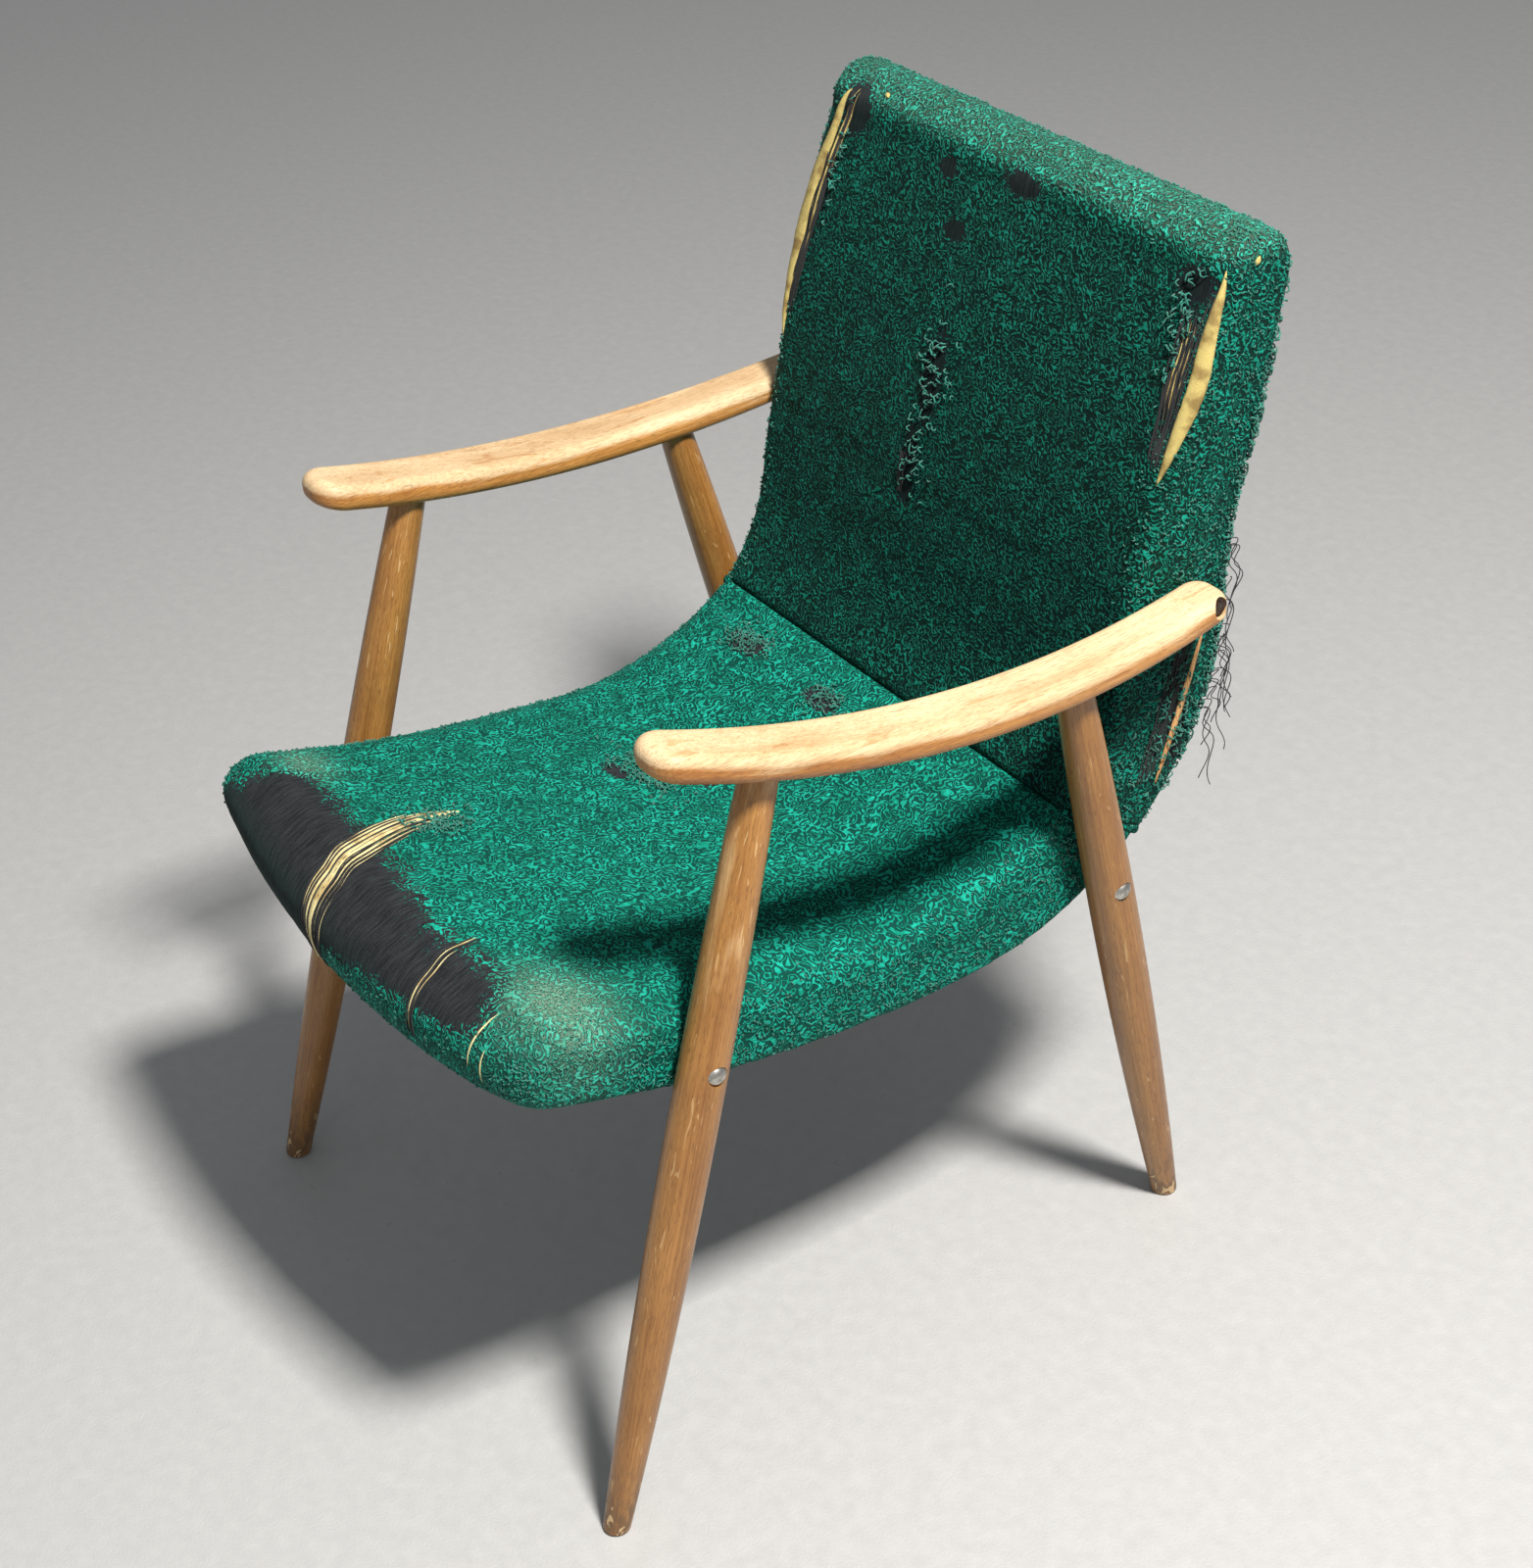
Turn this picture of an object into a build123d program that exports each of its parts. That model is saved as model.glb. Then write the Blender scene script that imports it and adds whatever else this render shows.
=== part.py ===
"""Upholstered easy chair: four round tapered legs, two bent armrests and one curved
seat-and-back shell bolted between them.

X runs across the chair (the sitter's left is +X), Y from the front (-) to the back (+), Z up
from the floor. The origin is on the floor, in the middle of the chair. All sizes are in mm.
"""
from build123d import *
from math import cos, radians, sin
import os

os.makedirs("parts", exist_ok=True)

# Upholstered shell
HALF_WIDTH = 223.0          # outer face of the side bands
COVER = 2.5                 # thickness of the boucle cover
CROWN = 6.0                 # how much the seat rises from its sides to its middle
NOSE_BOW = 25.0             # how far the front edge bows forward in the middle
NOSE_DROP = 24.0            # how far its roll hangs lower in the middle
CREASE = (150.0, 417.0)     # y, z where the seat meets the back
CREASE_LENGTH = 554.0       # where the crease rail sits, measured along the underside
FRONT_WRAP = 110.0          # how far the seat cover is pulled under the front

# Shell frame
RAIL_THICKNESS = 24.0
RAIL_NEAR = 6.0             # depth of the side rail's two edges, measured in from the underside
RAIL_FAR = 52.0
RAIL_INSET = 15.0           # padding kept between the rail and the cover
RAIL_X = HALF_WIDTH - COVER - RAIL_THICKNESS      # inner face of the side rails
DOWEL_RADIUS = 4.0
DOWEL_LENGTH = 40.0

# Springs and their cloth, as depths measured in from the underside
SPRING_DEPTH = 27.0
BURLAP_NEAR = 30.0
BURLAP_FAR = 31.2
CLOTH_HALF_WIDTH = 215.0    # dust cloth under the seat
WIRE_RADIUS = 1.6
WIRE_TO_RAIL = 3.6          # from a spring's last leg to the side rail's face
CLIP_RADIUS = 2.7
CLIP_PLATE = 1.2
SPRING_SWING = 19.0         # half the height of a zigzag's wave
SPRING_WAVES = 14           # straight legs in one zigzag, less one
SEAT_SPRINGS = (76, 190, 244, 298, 352, 406)      # stations along the underside
BACK_SPRINGS = (676, 730, 784, 838, 892)

# Legs: axis at the floor and at the armrest, with the radii down the axis
FRONT_FOOT = (255.5, -295.0, 0.0)
FRONT_TOP = (234.5, -118.5, 590.0)
REAR_FOOT = (227.5, 257.5, 0.0)
REAR_TOP = (249.5, 126.5, 560.0)
FOOT_RADIUS = 9.6
BELLY_RADIUS = 17.7
NECK_RADIUS = 13.0
BELLY_AT = 0.62             # share of the leg's length
TENON_RADIUS = 8.0
TENON_IN = 7.0              # how far the tenon runs on past the middle of the armrest

# Armrests
ARM_THICKNESS = 22.5
ARM_EDGE = 9.0              # rounding of the long edges
ARM_SIDE = ((-240.0, 634.0), (32.5, 567.0), (300.0, 578.0))      # y, z down the middle
ARM_OUTER = ((249.0, -204.5), (275.0, 60.0), (263.0, 263.0))     # x, y of the outer edge
ARM_INNER = ((200.0, -204.5), (226.5, 40.0), (223.6, 263.0))     # x, y of the inner edge
ARM_NOSE_CORNER = 22.0
ARM_END_CORNER = 16.0

# Fixings
BOLT_HEIGHTS = {"front": 372.0, "rear": 361.0}
BOLT_RADIUS = 3.0
BOLT_HEAD_RADIUS = 7.5
BOLT_HEAD_HEIGHT = 4.0
NUT_BARREL = 4.5
NUT_FLANGE = 10.0
NUT_PLATE = 1.5
SCREW_AT = (251.0, 573.0)   # y, z of the armrest's screw
SCREW_RADIUS = 2.5
SCREW_TIP_X = 201.0
CUP_RADIUS = 7.5
CUP_FLOOR_X = 258.0         # bottom of the round recess for the screw and its washer
WASHER_THICKNESS = 1.2
SCREW_HEAD_RADIUS = 4.5
SCREW_HEAD_HEIGHT = 2.2
CLEARANCE = 0.1


def across(y, z, radius, start, stop):
    """A round bar along X at (y, z), from x = start to x = stop."""
    bar = Cylinder(radius, abs(stop - start), rotation=(0, 90, 0))
    return Pos((start + stop) / 2, y, z) * bar


def both_sides(shape):
    """A shape and its mirror image in the chair's middle plane."""
    return [shape, mirror(shape, about=Plane.YZ)]


def group(shapes):
    """Several separate solids kept together in one node."""
    return Compound(children=[solid for shape in shapes for solid in shape.solids()])


def largest(shape):
    """The largest solid of a shape, without the slivers that trimming leaves."""
    return shape.solids().sort_by(SortBy.VOLUME)[-1]


# ---------------------------------------------------------------- outline of the shell

def under_curve():
    """Lower and rear outline of the shell: flat under the seat, a bend, then up the back."""
    lean = radians(73)
    seat = ThreePointArc((0, -307.5, 384), (0, -105.5, 322), (0, 72.5, 311))
    bend = TangentArc(seat @ 1, (0, 285.5, 490), tangent=seat % 1)
    back = Spline(bend @ 1, (0, 301.5, 640), (0, 337.5, 792),
                  tangents=[bend % 1, (0, cos(lean), sin(lean))])
    return seat, bend, back


SEAT_ARC, BEND_ARC, BACK_LINE = under_curve()
BEND_START = SEAT_ARC.length
BEND_STOP = BEND_START + BEND_ARC.length
UNDER_LENGTH = BEND_STOP + BACK_LINE.length


def on_under(length):
    """Point and tangent on the under curve, at a length measured from the front."""
    for edge, start in ((BACK_LINE, BEND_STOP), (BEND_ARC, BEND_START), (SEAT_ARC, 0.0)):
        if length >= start:
            share = (length - start) / edge.length
            return edge @ share, edge % share
    raise ValueError("length before the front of the seat")


def inside(length, depth, x=0.0):
    """Point at a depth inward from the under curve."""
    point, tangent = on_under(length)
    return Vector(x, point.Y - tangent.Z * depth, point.Z + tangent.Y * depth)


def frame_at(length, depth):
    """Plane with x across the chair, y along the under curve and z inward."""
    _, tangent = on_under(length)
    inward = Vector(0, -tangent.Z, tangent.Y)
    return Plane(origin=inside(length, depth), x_dir=(1, 0, 0), z_dir=inward)


def band(start, stop, near, far, half_width):
    """Strip that follows the under curve between two depths, right across the chair."""
    steps = 14
    lengths = [start + (stop - start) * step / steps for step in range(steps + 1)]
    low = Spline(*[inside(length, near) for length in lengths])
    high = Spline(*[inside(length, far) for length in lengths])
    outline = [low, Line(low @ 1, high @ 1), high, Line(high @ 0, low @ 0)]
    return extrude(make_face(outline), amount=half_width, dir=(1, 0, 0), both=True)


def seat_section(x, bow, inset):
    """Side outline of the seat at one x; bow is 0 at the sides and 1 in the middle."""
    crown = CROWN * bow - inset
    crease = (x, CREASE[0] + inset / 2, CREASE[1] - inset)
    nose_top = (x, -291 - 10 * bow, 425 - inset)
    nose_front = (x, -312.5 - NOSE_BOW * bow + inset, 404 - 12 * bow)
    nose_bottom = (x, -300 - 18 * bow + inset / 2, 381 - NOSE_DROP * bow + inset)
    top = Spline(crease, (x, 95, 391 + crown), (x, 25, 374.5 + crown), (x, -85, 383 + crown),
                 (x, -200, 403 + crown), nose_top)
    nose = ThreePointArc(nose_top, nose_front, nose_bottom)
    lip = Line(nose_bottom, inside(FRONT_WRAP, inset, x))
    under = ThreePointArc(inside(FRONT_WRAP, inset, x), inside(245, inset, x),
                          inside(BEND_START, inset, x))
    bend = ThreePointArc(inside(BEND_START, inset, x), inside(470, inset, x),
                         inside(CREASE_LENGTH, inset, x))
    split = Line(inside(CREASE_LENGTH, inset, x), crease)
    return make_face([top, nose, lip, under, bend, split])


def seat_block(inset, half_width):
    """The seat's whole volume: side outline, middle outline, side outline."""
    return loft([seat_section(-half_width, 0, inset), seat_section(0, 1, inset),
                 seat_section(half_width, 0, inset)])


def seat_block_flat(inset):
    """The seat's side outline carried right across, with no bow."""
    face = seat_section(0, 0, inset)
    return extrude(face, amount=HALF_WIDTH, dir=(1, 0, 0), both=True)


def back_block(inset, half_width):
    """The back's whole volume, one outline carried right across."""
    crease = (0, CREASE[0] + inset / 2, CREASE[1] - inset)
    front = Spline(crease, (0, 177 + inset, 462), (0, 197.5 + inset, 550), (0, 222 + inset, 650),
                   (0, 247 + inset, 726), (0, 275 + inset, 795))
    top = ThreePointArc(front @ 1, (0, 304, 828 - inset), inside(UNDER_LENGTH, inset))
    lengths = [UNDER_LENGTH, 900, 800, BEND_STOP]
    rear = Spline(*[inside(length, inset) for length in lengths])
    bend = ThreePointArc(inside(BEND_STOP, inset), inside(610, inset),
                         inside(CREASE_LENGTH, inset))
    split = Line(inside(CREASE_LENGTH, inset), crease)
    face = make_face([front, top, rear, bend, split])
    return extrude(face, amount=half_width, dir=(1, 0, 0), both=True)


# ---------------------------------------------------------------- legs and armrests

def leg_blank(foot, top):
    """Round leg, thickest at the bolt and slim at both ends, cut level at the floor."""
    axis = Vector(top) - Vector(foot)
    length = axis.length
    side = Spline((FOOT_RADIUS, 0, -12), (BELLY_RADIUS, 0, BELLY_AT * length),
                  (NECK_RADIUS, 0, length))
    outline = [side, Line(side @ 1, (0, 0, length)), Line((0, 0, length), (0, 0, -12)),
               Line((0, 0, -12), side @ 0)]
    turned = revolve(make_face(outline), axis=Axis.Z)
    placed = Plane(origin=foot, z_dir=axis).location * turned
    return placed & Pos(0, 0, 400) * Box(1200, 1200, 800)


def tenon(foot, top, radius, extra=0.0):
    """Peg on the leg's axis, from just under the armrest to past its middle."""
    axis = Vector(top) - Vector(foot)
    length = axis.length
    peg = Pos(0, 0, length - 15 + (TENON_IN + extra) / 2) * Cylinder(radius, 30 + TENON_IN + extra)
    return Plane(origin=foot, z_dir=axis).location * peg


def leg_axis_at(foot, top, z):
    """x and y of a leg's axis at a height."""
    share = (z - foot[2]) / (top[2] - foot[2])
    return foot[0] + (top[0] - foot[0]) * share, foot[1] + (top[1] - foot[1]) * share


def is_upright(edge):
    """True for an edge whose two ends lie one above the other."""
    gap = edge @ 1 - edge @ 0
    return abs(gap.X) < 0.05 and abs(gap.Y) < 0.05


def armrest_blank():
    """Bent armrest: a curved side outline crossed with a bowed plan, edges rounded."""
    half = ARM_THICKNESS / 2
    low = ThreePointArc(*[(0, y, z - half) for y, z in ARM_SIDE])
    high = ThreePointArc(*[(0, y, z + half) for y, z in ARM_SIDE])
    outline = [low, Line(low @ 1, high @ 1), high, Line(low @ 0, high @ 0)]
    side = extrude(make_face(outline), amount=400, dir=(1, 0, 0))
    outer = ThreePointArc(*ARM_OUTER)
    inner = ThreePointArc(*ARM_INNER)
    plan = make_face([outer, Line(outer @ 1, inner @ 1), inner, Line(outer @ 0, inner @ 0)])
    plan = fillet(plan.vertices().sort_by(Axis.Y)[:2], ARM_NOSE_CORNER)
    plan = fillet(plan.vertices().sort_by(Axis.Y)[-2:], ARM_END_CORNER)
    blank = (side & extrude(plan, amount=800)).solid()
    level = [edge for edge in blank.edges() if not is_upright(edge)]
    return fillet(level, ARM_EDGE)


def bolt_seats(name, foot, top):
    """Hole and spot face for one leg bolt, and where the head's flat side sits."""
    z = BOLT_HEIGHTS[name]
    x, y = leg_axis_at(foot, top, z)
    seat_x = x + (BELLY_RADIUS ** 2 - (BOLT_HEAD_RADIUS + 0.3) ** 2) ** 0.5
    hole = across(y, z, BOLT_RADIUS + CLEARANCE, RAIL_X - 5, seat_x + 5)
    spot = across(y, z, BOLT_HEAD_RADIUS + CLEARANCE, seat_x, seat_x + 10)
    return y, z, seat_x, hole, spot


def leg_bolt(y, z, seat_x):
    """Bolt with a low domed head on the outer face of the leg."""
    rise = BOLT_HEAD_HEIGHT
    ball = (BOLT_HEAD_RADIUS ** 2 + rise ** 2) / (2 * rise)
    dome = Pos(seat_x + rise - ball, y, z) * Rotation(0, 90, 0) * Sphere(ball)
    head = dome & Pos(seat_x + 25, y, z) * Box(50, 60, 60)
    return head + across(y, z, BOLT_RADIUS, RAIL_X + 1, seat_x + 0.5)


def tee_nut(y, z, gap=0.0):
    """Barrel and round plate let into the side rail's inner face; gap makes it a cutter."""
    plate = across(y, z, NUT_FLANGE + gap, RAIL_X - gap, RAIL_X + NUT_PLATE)
    return plate + across(y, z, NUT_BARREL + gap, RAIL_X - gap, RAIL_X + 9 + gap)


# ---------------------------------------------------------------- shell frame

def side_rail_blank():
    """Bent rail that follows the shell from the nose to the top of the back."""
    strip = band(RAIL_NEAR, UNDER_LENGTH - RAIL_NEAR, RAIL_NEAR, RAIL_FAR, HALF_WIDTH)
    room = seat_block_flat(RAIL_INSET) + back_block(RAIL_INSET, HALF_WIDTH)
    rail = strip & room
    keep = Pos(RAIL_X + RAIL_THICKNESS / 2, 0, 500) * Box(RAIL_THICKNESS, 900, 1000)
    return rail & keep


def cross_rail(plane, depth, height):
    """Straight rail between the side rails; depth runs along the plane's y, height along z."""
    return plane.location * Box(2 * RAIL_X, depth, height)


def dowels_for(plane, spread, along):
    """Two pegs at each end of a cross rail, half in it and half in the side rail."""
    pegs = []
    for offset in (-spread, spread):
        shift = (0, offset, 0) if along == "y" else (0, 0, offset)
        peg = Pos(*shift) * Pos(RAIL_X, 0, 0) * Cylinder(DOWEL_RADIUS, DOWEL_LENGTH,
                                                        rotation=(0, 90, 0))
        pegs += both_sides(plane.location * peg)
    return pegs


def zigzag(length):
    """Zigzag spring across the shell: square waves with fully rounded turns."""
    reach = RAIL_X - WIRE_TO_RAIL
    pitch = 2 * reach / SPRING_WAVES
    points = []
    for leg in range(SPRING_WAVES + 1):
        x = -reach + leg * pitch
        up = SPRING_SWING if leg % 2 == 0 else -SPRING_SWING
        points += [(x, -up), (x, up)]
    plane = frame_at(length, SPRING_DEPTH)
    path = plane * FilletPolyline(*points, radius=pitch / 2 - 0.4)
    start = Plane(origin=path @ 0, z_dir=path % 0)
    return sweep(start * Circle(WIRE_RADIUS), path=path)


def spring_clip(length):
    """Folded steel clip on the side rail that hooks round a spring's last leg."""
    width = 12.0
    sleeve = Cylinder(CLIP_RADIUS, width, rotation=(90, 0, 0))
    plate = Pos(WIRE_TO_RAIL - CLIP_PLATE / 2, 0, -6) * Box(CLIP_PLATE, width, 15)
    bore = Cylinder(WIRE_RADIUS + CLEARANCE, width + 2, rotation=(90, 0, 0))
    clip = Pos(RAIL_X - WIRE_TO_RAIL, 0, 0) * (sleeve + plate - bore)
    return frame_at(length, SPRING_DEPTH).location * clip


def staple(length, x):
    """Staple crown that lies on the dust cloth."""
    return frame_at(length, 0.85).location * (Pos(x, 0, 0) * Box(10, 1.2, 0.6))


# ---------------------------------------------------------------- everything together

LEGS = {"front": (FRONT_FOOT, FRONT_TOP), "rear": (REAR_FOOT, REAR_TOP)}
parts = {}

front_rail_plane = Plane(origin=(0, -281, 397), x_dir=(1, 0, 0), z_dir=(0, 0, 1))
crease_rail_plane = frame_at(CREASE_LENGTH, 25)
top_rail_plane = frame_at(UNDER_LENGTH - 32, 17)
front_rail = cross_rail(front_rail_plane, 30, 27)
crease_rail = cross_rail(crease_rail_plane, 24, 38)
top_rail = cross_rail(top_rail_plane, 60, 22)
dowels = (dowels_for(front_rail_plane, 6, "y") + dowels_for(crease_rail_plane, 11, "z")
          + dowels_for(top_rail_plane, 18, "y"))
cross_rails = {"front_rail": front_rail, "crease_rail": crease_rail, "top_rail": top_rail}
for name, rail in cross_rails.items():
    for peg in dowels:
        rail = rail - peg
    parts[name] = rail
parts["rail_dowels"] = group(dowels)

armrest = armrest_blank()
screw_hole = across(*SCREW_AT, SCREW_RADIUS + CLEARANCE, SCREW_TIP_X - 1, 300)
cup_hole = across(*SCREW_AT, CUP_RADIUS + CLEARANCE, CUP_FLOOR_X, 300)
side_rail = side_rail_blank() - screw_hole
for peg in dowels:
    side_rail = side_rail - peg
side_band = (seat_block_flat(0) + back_block(0, HALF_WIDTH)) & (
    Pos(HALF_WIDTH - COVER / 2, 0, 500) * Box(COVER, 900, 1000))
side_band = side_band - screw_hole

bolts = []
nuts = []
drilled_armrest = armrest - screw_hole - cup_hole
for name, (foot, top) in LEGS.items():
    y, z, seat_x, hole, spot = bolt_seats(name, foot, top)
    leg = leg_blank(foot, top) - armrest
    leg = fillet(leg.edges().group_by(Axis.Z)[0], 2.0)
    leg = leg + tenon(foot, top, TENON_RADIUS) - hole - spot
    drilled_armrest = drilled_armrest - tenon(foot, top, TENON_RADIUS + CLEARANCE, 1.0)
    side_rail = side_rail - hole - tee_nut(y, z, gap=0.05)
    side_band = side_band - hole
    bolts += both_sides(leg_bolt(y, z, seat_x))
    nuts += both_sides(tee_nut(y, z) - across(y, z, BOLT_RADIUS + 0.05, RAIL_X - 5, 300))
    parts[f"leg_{name}_left"] = leg
    parts[f"leg_{name}_right"] = mirror(leg, about=Plane.YZ)
parts["leg_bolts"] = group(bolts)
parts["leg_tee_nuts"] = group(nuts)
for side, turn in (("left", False), ("right", True)):
    for name, shape in (("armrest", drilled_armrest), ("side_rail", side_rail),
                        ("side_band", side_band)):
        parts[f"{name}_{side}"] = mirror(shape, about=Plane.YZ) if turn else shape

washer_top = CUP_FLOOR_X + WASHER_THICKNESS
screw = across(*SCREW_AT, SCREW_RADIUS, SCREW_TIP_X, washer_top + 0.8) + across(
    *SCREW_AT, SCREW_HEAD_RADIUS, washer_top, washer_top + SCREW_HEAD_HEIGHT)
washer = across(*SCREW_AT, CUP_RADIUS, CUP_FLOOR_X, washer_top) - across(
    *SCREW_AT, SCREW_RADIUS + CLEARANCE, CUP_FLOOR_X - 1, washer_top + 1)
parts["armrest_screws"] = group(both_sides(screw))
parts["armrest_washers"] = group(both_sides(washer))

parts["seat_springs"] = group([zigzag(length) for length in SEAT_SPRINGS])
parts["back_springs"] = group([zigzag(length) for length in BACK_SPRINGS])
clips = []
for length in SEAT_SPRINGS + BACK_SPRINGS:
    clips += both_sides(spring_clip(length))
parts["spring_clips"] = group(clips)
parts["seat_burlap"] = band(46, 536, BURLAP_NEAR, BURLAP_FAR, RAIL_X - 0.5)
parts["back_burlap"] = band(572, UNDER_LENGTH - 66, BURLAP_NEAR, BURLAP_FAR, RAIL_X - 0.5)

crease_low = inside(CREASE_LENGTH, 0)
crease_high = Vector(0, *CREASE)
split_plane = Plane(origin=(crease_low + crease_high) * 0.5, x_dir=(1, 0, 0),
                    z_dir=(crease_high - crease_low).cross(Vector(1, 0, 0)))
split_gap = split_plane.location * Box(3 * HALF_WIDTH, (crease_high - crease_low).length - 14, 9)
cover_width = HALF_WIDTH - COVER
seat_skin = seat_block(0, cover_width) - seat_block(COVER, cover_width + 5)
seat_skin = seat_skin - split_gap - band(FRONT_WRAP, UNDER_LENGTH, -60, 8, HALF_WIDTH + 5)
back_skin = back_block(0, cover_width) - back_block(COVER, cover_width + 5)
back_skin = back_skin - split_gap - band(BEND_START, UNDER_LENGTH, -60, 8, HALF_WIDTH + 5)
parts["seat_cover"] = largest(seat_skin)
parts["back_cover"] = largest(back_skin)

# Padding fills what the frame, the springs and the cover leave free.
frame_solids = both_sides(side_rail_blank()) + [front_rail, crease_rail, top_rail]
below_rails = band(4, UNDER_LENGTH, -60, RAIL_NEAR + 6, HALF_WIDTH + 5)
below_burlap = band(24, UNDER_LENGTH - 30, -60, BURLAP_FAR + 0.3, RAIL_X)
inner_width = HALF_WIDTH - COVER - 0.3
for name, block in (("seat_foam", seat_block(COVER + 0.3, inner_width)),
                    ("back_foam", back_block(COVER + 0.3, inner_width))):
    foam = block - below_rails - below_burlap
    for solid in frame_solids + [parts["seat_cover"]]:
        foam = foam - solid
    parts[name] = largest(foam)

parts["outer_back"] = band(CREASE_LENGTH + 0.5, UNDER_LENGTH, 0, COVER, cover_width)
parts["bottom_cloth"] = band(FRONT_WRAP + 0.5, CREASE_LENGTH - 3, 1.2, 2.2, CLOTH_HALF_WIDTH)
parts["staples"] = group([staple(FRONT_WRAP + 15 + 42 * row, x)
                          for row in range(11) for x in (-208, 208)])

for name, shape in parts.items():
    export_step(shape, f"parts/{name}.step")
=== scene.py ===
"""A worn mid-century easy chair: four turned beech legs, two bent beech armrests and one curved
shell of seat and back, covered in emerald boucle that has split over its edges.

X runs across the chair (the sitter's left is +X), Y from front (-) to back (+), Z up. Metres.
"""

from math import pi, radians

import bmesh
import bpy
import numpy as np
from mathutils import Matrix, Vector
from mathutils.bvhtree import BVHTree


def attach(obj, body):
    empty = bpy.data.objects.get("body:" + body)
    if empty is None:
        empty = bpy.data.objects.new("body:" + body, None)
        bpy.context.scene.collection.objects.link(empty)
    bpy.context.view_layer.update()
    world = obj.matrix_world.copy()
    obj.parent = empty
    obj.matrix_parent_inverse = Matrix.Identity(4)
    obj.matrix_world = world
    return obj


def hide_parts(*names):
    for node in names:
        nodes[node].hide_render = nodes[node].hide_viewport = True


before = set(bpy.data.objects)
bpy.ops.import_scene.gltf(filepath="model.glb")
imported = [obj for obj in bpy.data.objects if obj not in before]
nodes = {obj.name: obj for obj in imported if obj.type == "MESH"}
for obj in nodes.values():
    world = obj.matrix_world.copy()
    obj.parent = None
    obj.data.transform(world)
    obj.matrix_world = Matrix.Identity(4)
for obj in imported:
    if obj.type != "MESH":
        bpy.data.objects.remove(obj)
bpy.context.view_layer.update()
scene = bpy.context.scene

# ------------------------------------------------------------ camera, light and floor
# The chair stands on a plain pale floor, seen from its front left corner and a little above.
# A soft lamp hangs high on the sitter's left. A weak one in front and a pale sky fill the shadows.

camera_data = bpy.data.cameras.new("camera")
camera_data.sensor_width = 36
camera_data.lens = 63
camera = bpy.data.objects.new("camera", camera_data)
camera_place = Vector((1.4585, -0.9145, 1.5664))
camera_right = Vector((0.57095, 0.81977, -0.04473))
camera_up = Vector((-0.44252, 0.35318, 0.82428))
turn = Matrix((camera_right, camera_up, camera_right.cross(camera_up))).transposed()
camera.matrix_world = Matrix.LocRotScale(camera_place, turn.to_quaternion(), None)
scene.collection.objects.link(camera)
scene.camera = camera

chair_middle = Vector((0, 0, 0.4))


def soft_lamp(name, direction, distance, size, watts, colour):
    """A square lamp that hangs in that direction from the chair and faces it."""
    data = bpy.data.lights.new(name, "AREA")
    data.size = size
    data.energy = watts
    data.color = colour
    lamp = bpy.data.objects.new(name, data)
    way = Vector(direction).normalized()
    lamp.location = chair_middle + way * distance
    lamp.rotation_mode = "QUATERNION"
    lamp.rotation_quaternion = way.to_track_quat("Z", "Y")
    scene.collection.objects.link(lamp)


soft_lamp("key_lamp", (0.47, 0.03, 0.88), 3.0, 0.4, 184, (1.0, 0.97, 0.92))
soft_lamp("fill_lamp", (0.7, -1.0, 0.5), 3.4, 2.4, 7, (0.95, 0.98, 1.0))

sky = bpy.data.worlds.new("studio_sky")
scene.world = sky
scene.view_settings.view_transform = "Standard"
sky.use_nodes = True
sky.node_tree.nodes["Background"].inputs["Color"].default_value = (0.9, 0.93, 0.97, 1)
sky.node_tree.nodes["Background"].inputs["Strength"].default_value = 0.27


def put(tree, kind, inputs=(), **settings):
    """A shader node with its settings, and its inputs linked to sockets or set to values."""
    node = tree.nodes.new("ShaderNode" + kind)
    for key, value in settings.items():
        setattr(node, key, value)
    for socket, value in dict(inputs).items():
        if isinstance(value, bpy.types.NodeSocket):
            tree.links.new(value, node.inputs[socket])
        else:
            node.inputs[socket].default_value = value
    return node


def calc(tree, operation, first, second=0.0, third=0.0):
    """One step of arithmetic on values."""
    node = put(tree, "Math", {0: first, 1: second, 2: third}, operation=operation)
    return node.outputs[0]


def blend(tree, share, first, second, mode="MIX"):
    """Two colours mixed by a share from 0 to 1."""
    node = put(tree, "Mix", {0: share, 6: first, 7: second}, data_type="RGBA", blend_type=mode)
    return node.outputs[2]


def spread(tree, value, low, high, to_low=0.0, to_high=1.0):
    """A value's range carried smoothly over to another range, and held at its ends."""
    node = put(tree, "MapRange", {"Value": value, "From Min": low, "From Max": high,
                                  "To Min": to_low, "To Max": to_high},
               interpolation_type="SMOOTHSTEP")
    return node.outputs[0]


def noise(tree, place, scale, detail=2.0, distortion=0.0, roughness=0.5):
    """Cloudy noise from 0 to 1, with that many clouds to a metre."""
    node = put(tree, "TexNoise", {"Vector": place, "Scale": scale, "Detail": detail,
                                  "Distortion": distortion, "Roughness": roughness})
    return node.outputs["Fac"]


def streaks(tree, place, scale, detail, distortion=0.0):
    """Cloudy noise whose clouds are of another size along each axis."""
    return noise(tree, mapped(tree, place, scale), 1, detail, distortion)


def mapped(tree, place, scale=(1, 1, 1), location=(0, 0, 0), rotation=(0, 0, 0), kind="POINT"):
    """Coordinates moved, turned or stretched."""
    node = put(tree, "Mapping", {"Vector": place, "Scale": scale, "Location": location,
                                 "Rotation": rotation}, vector_type=kind)
    return node.outputs[0]


def new_material(name, **values):
    """A material with its tree, its shader with plain values set on it, and object coordinates."""
    material = bpy.data.materials.new(name)
    material.use_nodes = True
    tree = material.node_tree
    shader = tree.nodes["Principled BSDF"]
    for socket, value in values.items():
        shader.inputs[socket.replace("_", " ")].default_value = value
    return material, tree, shader, put(tree, "TexCoord").outputs["Object"]


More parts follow.
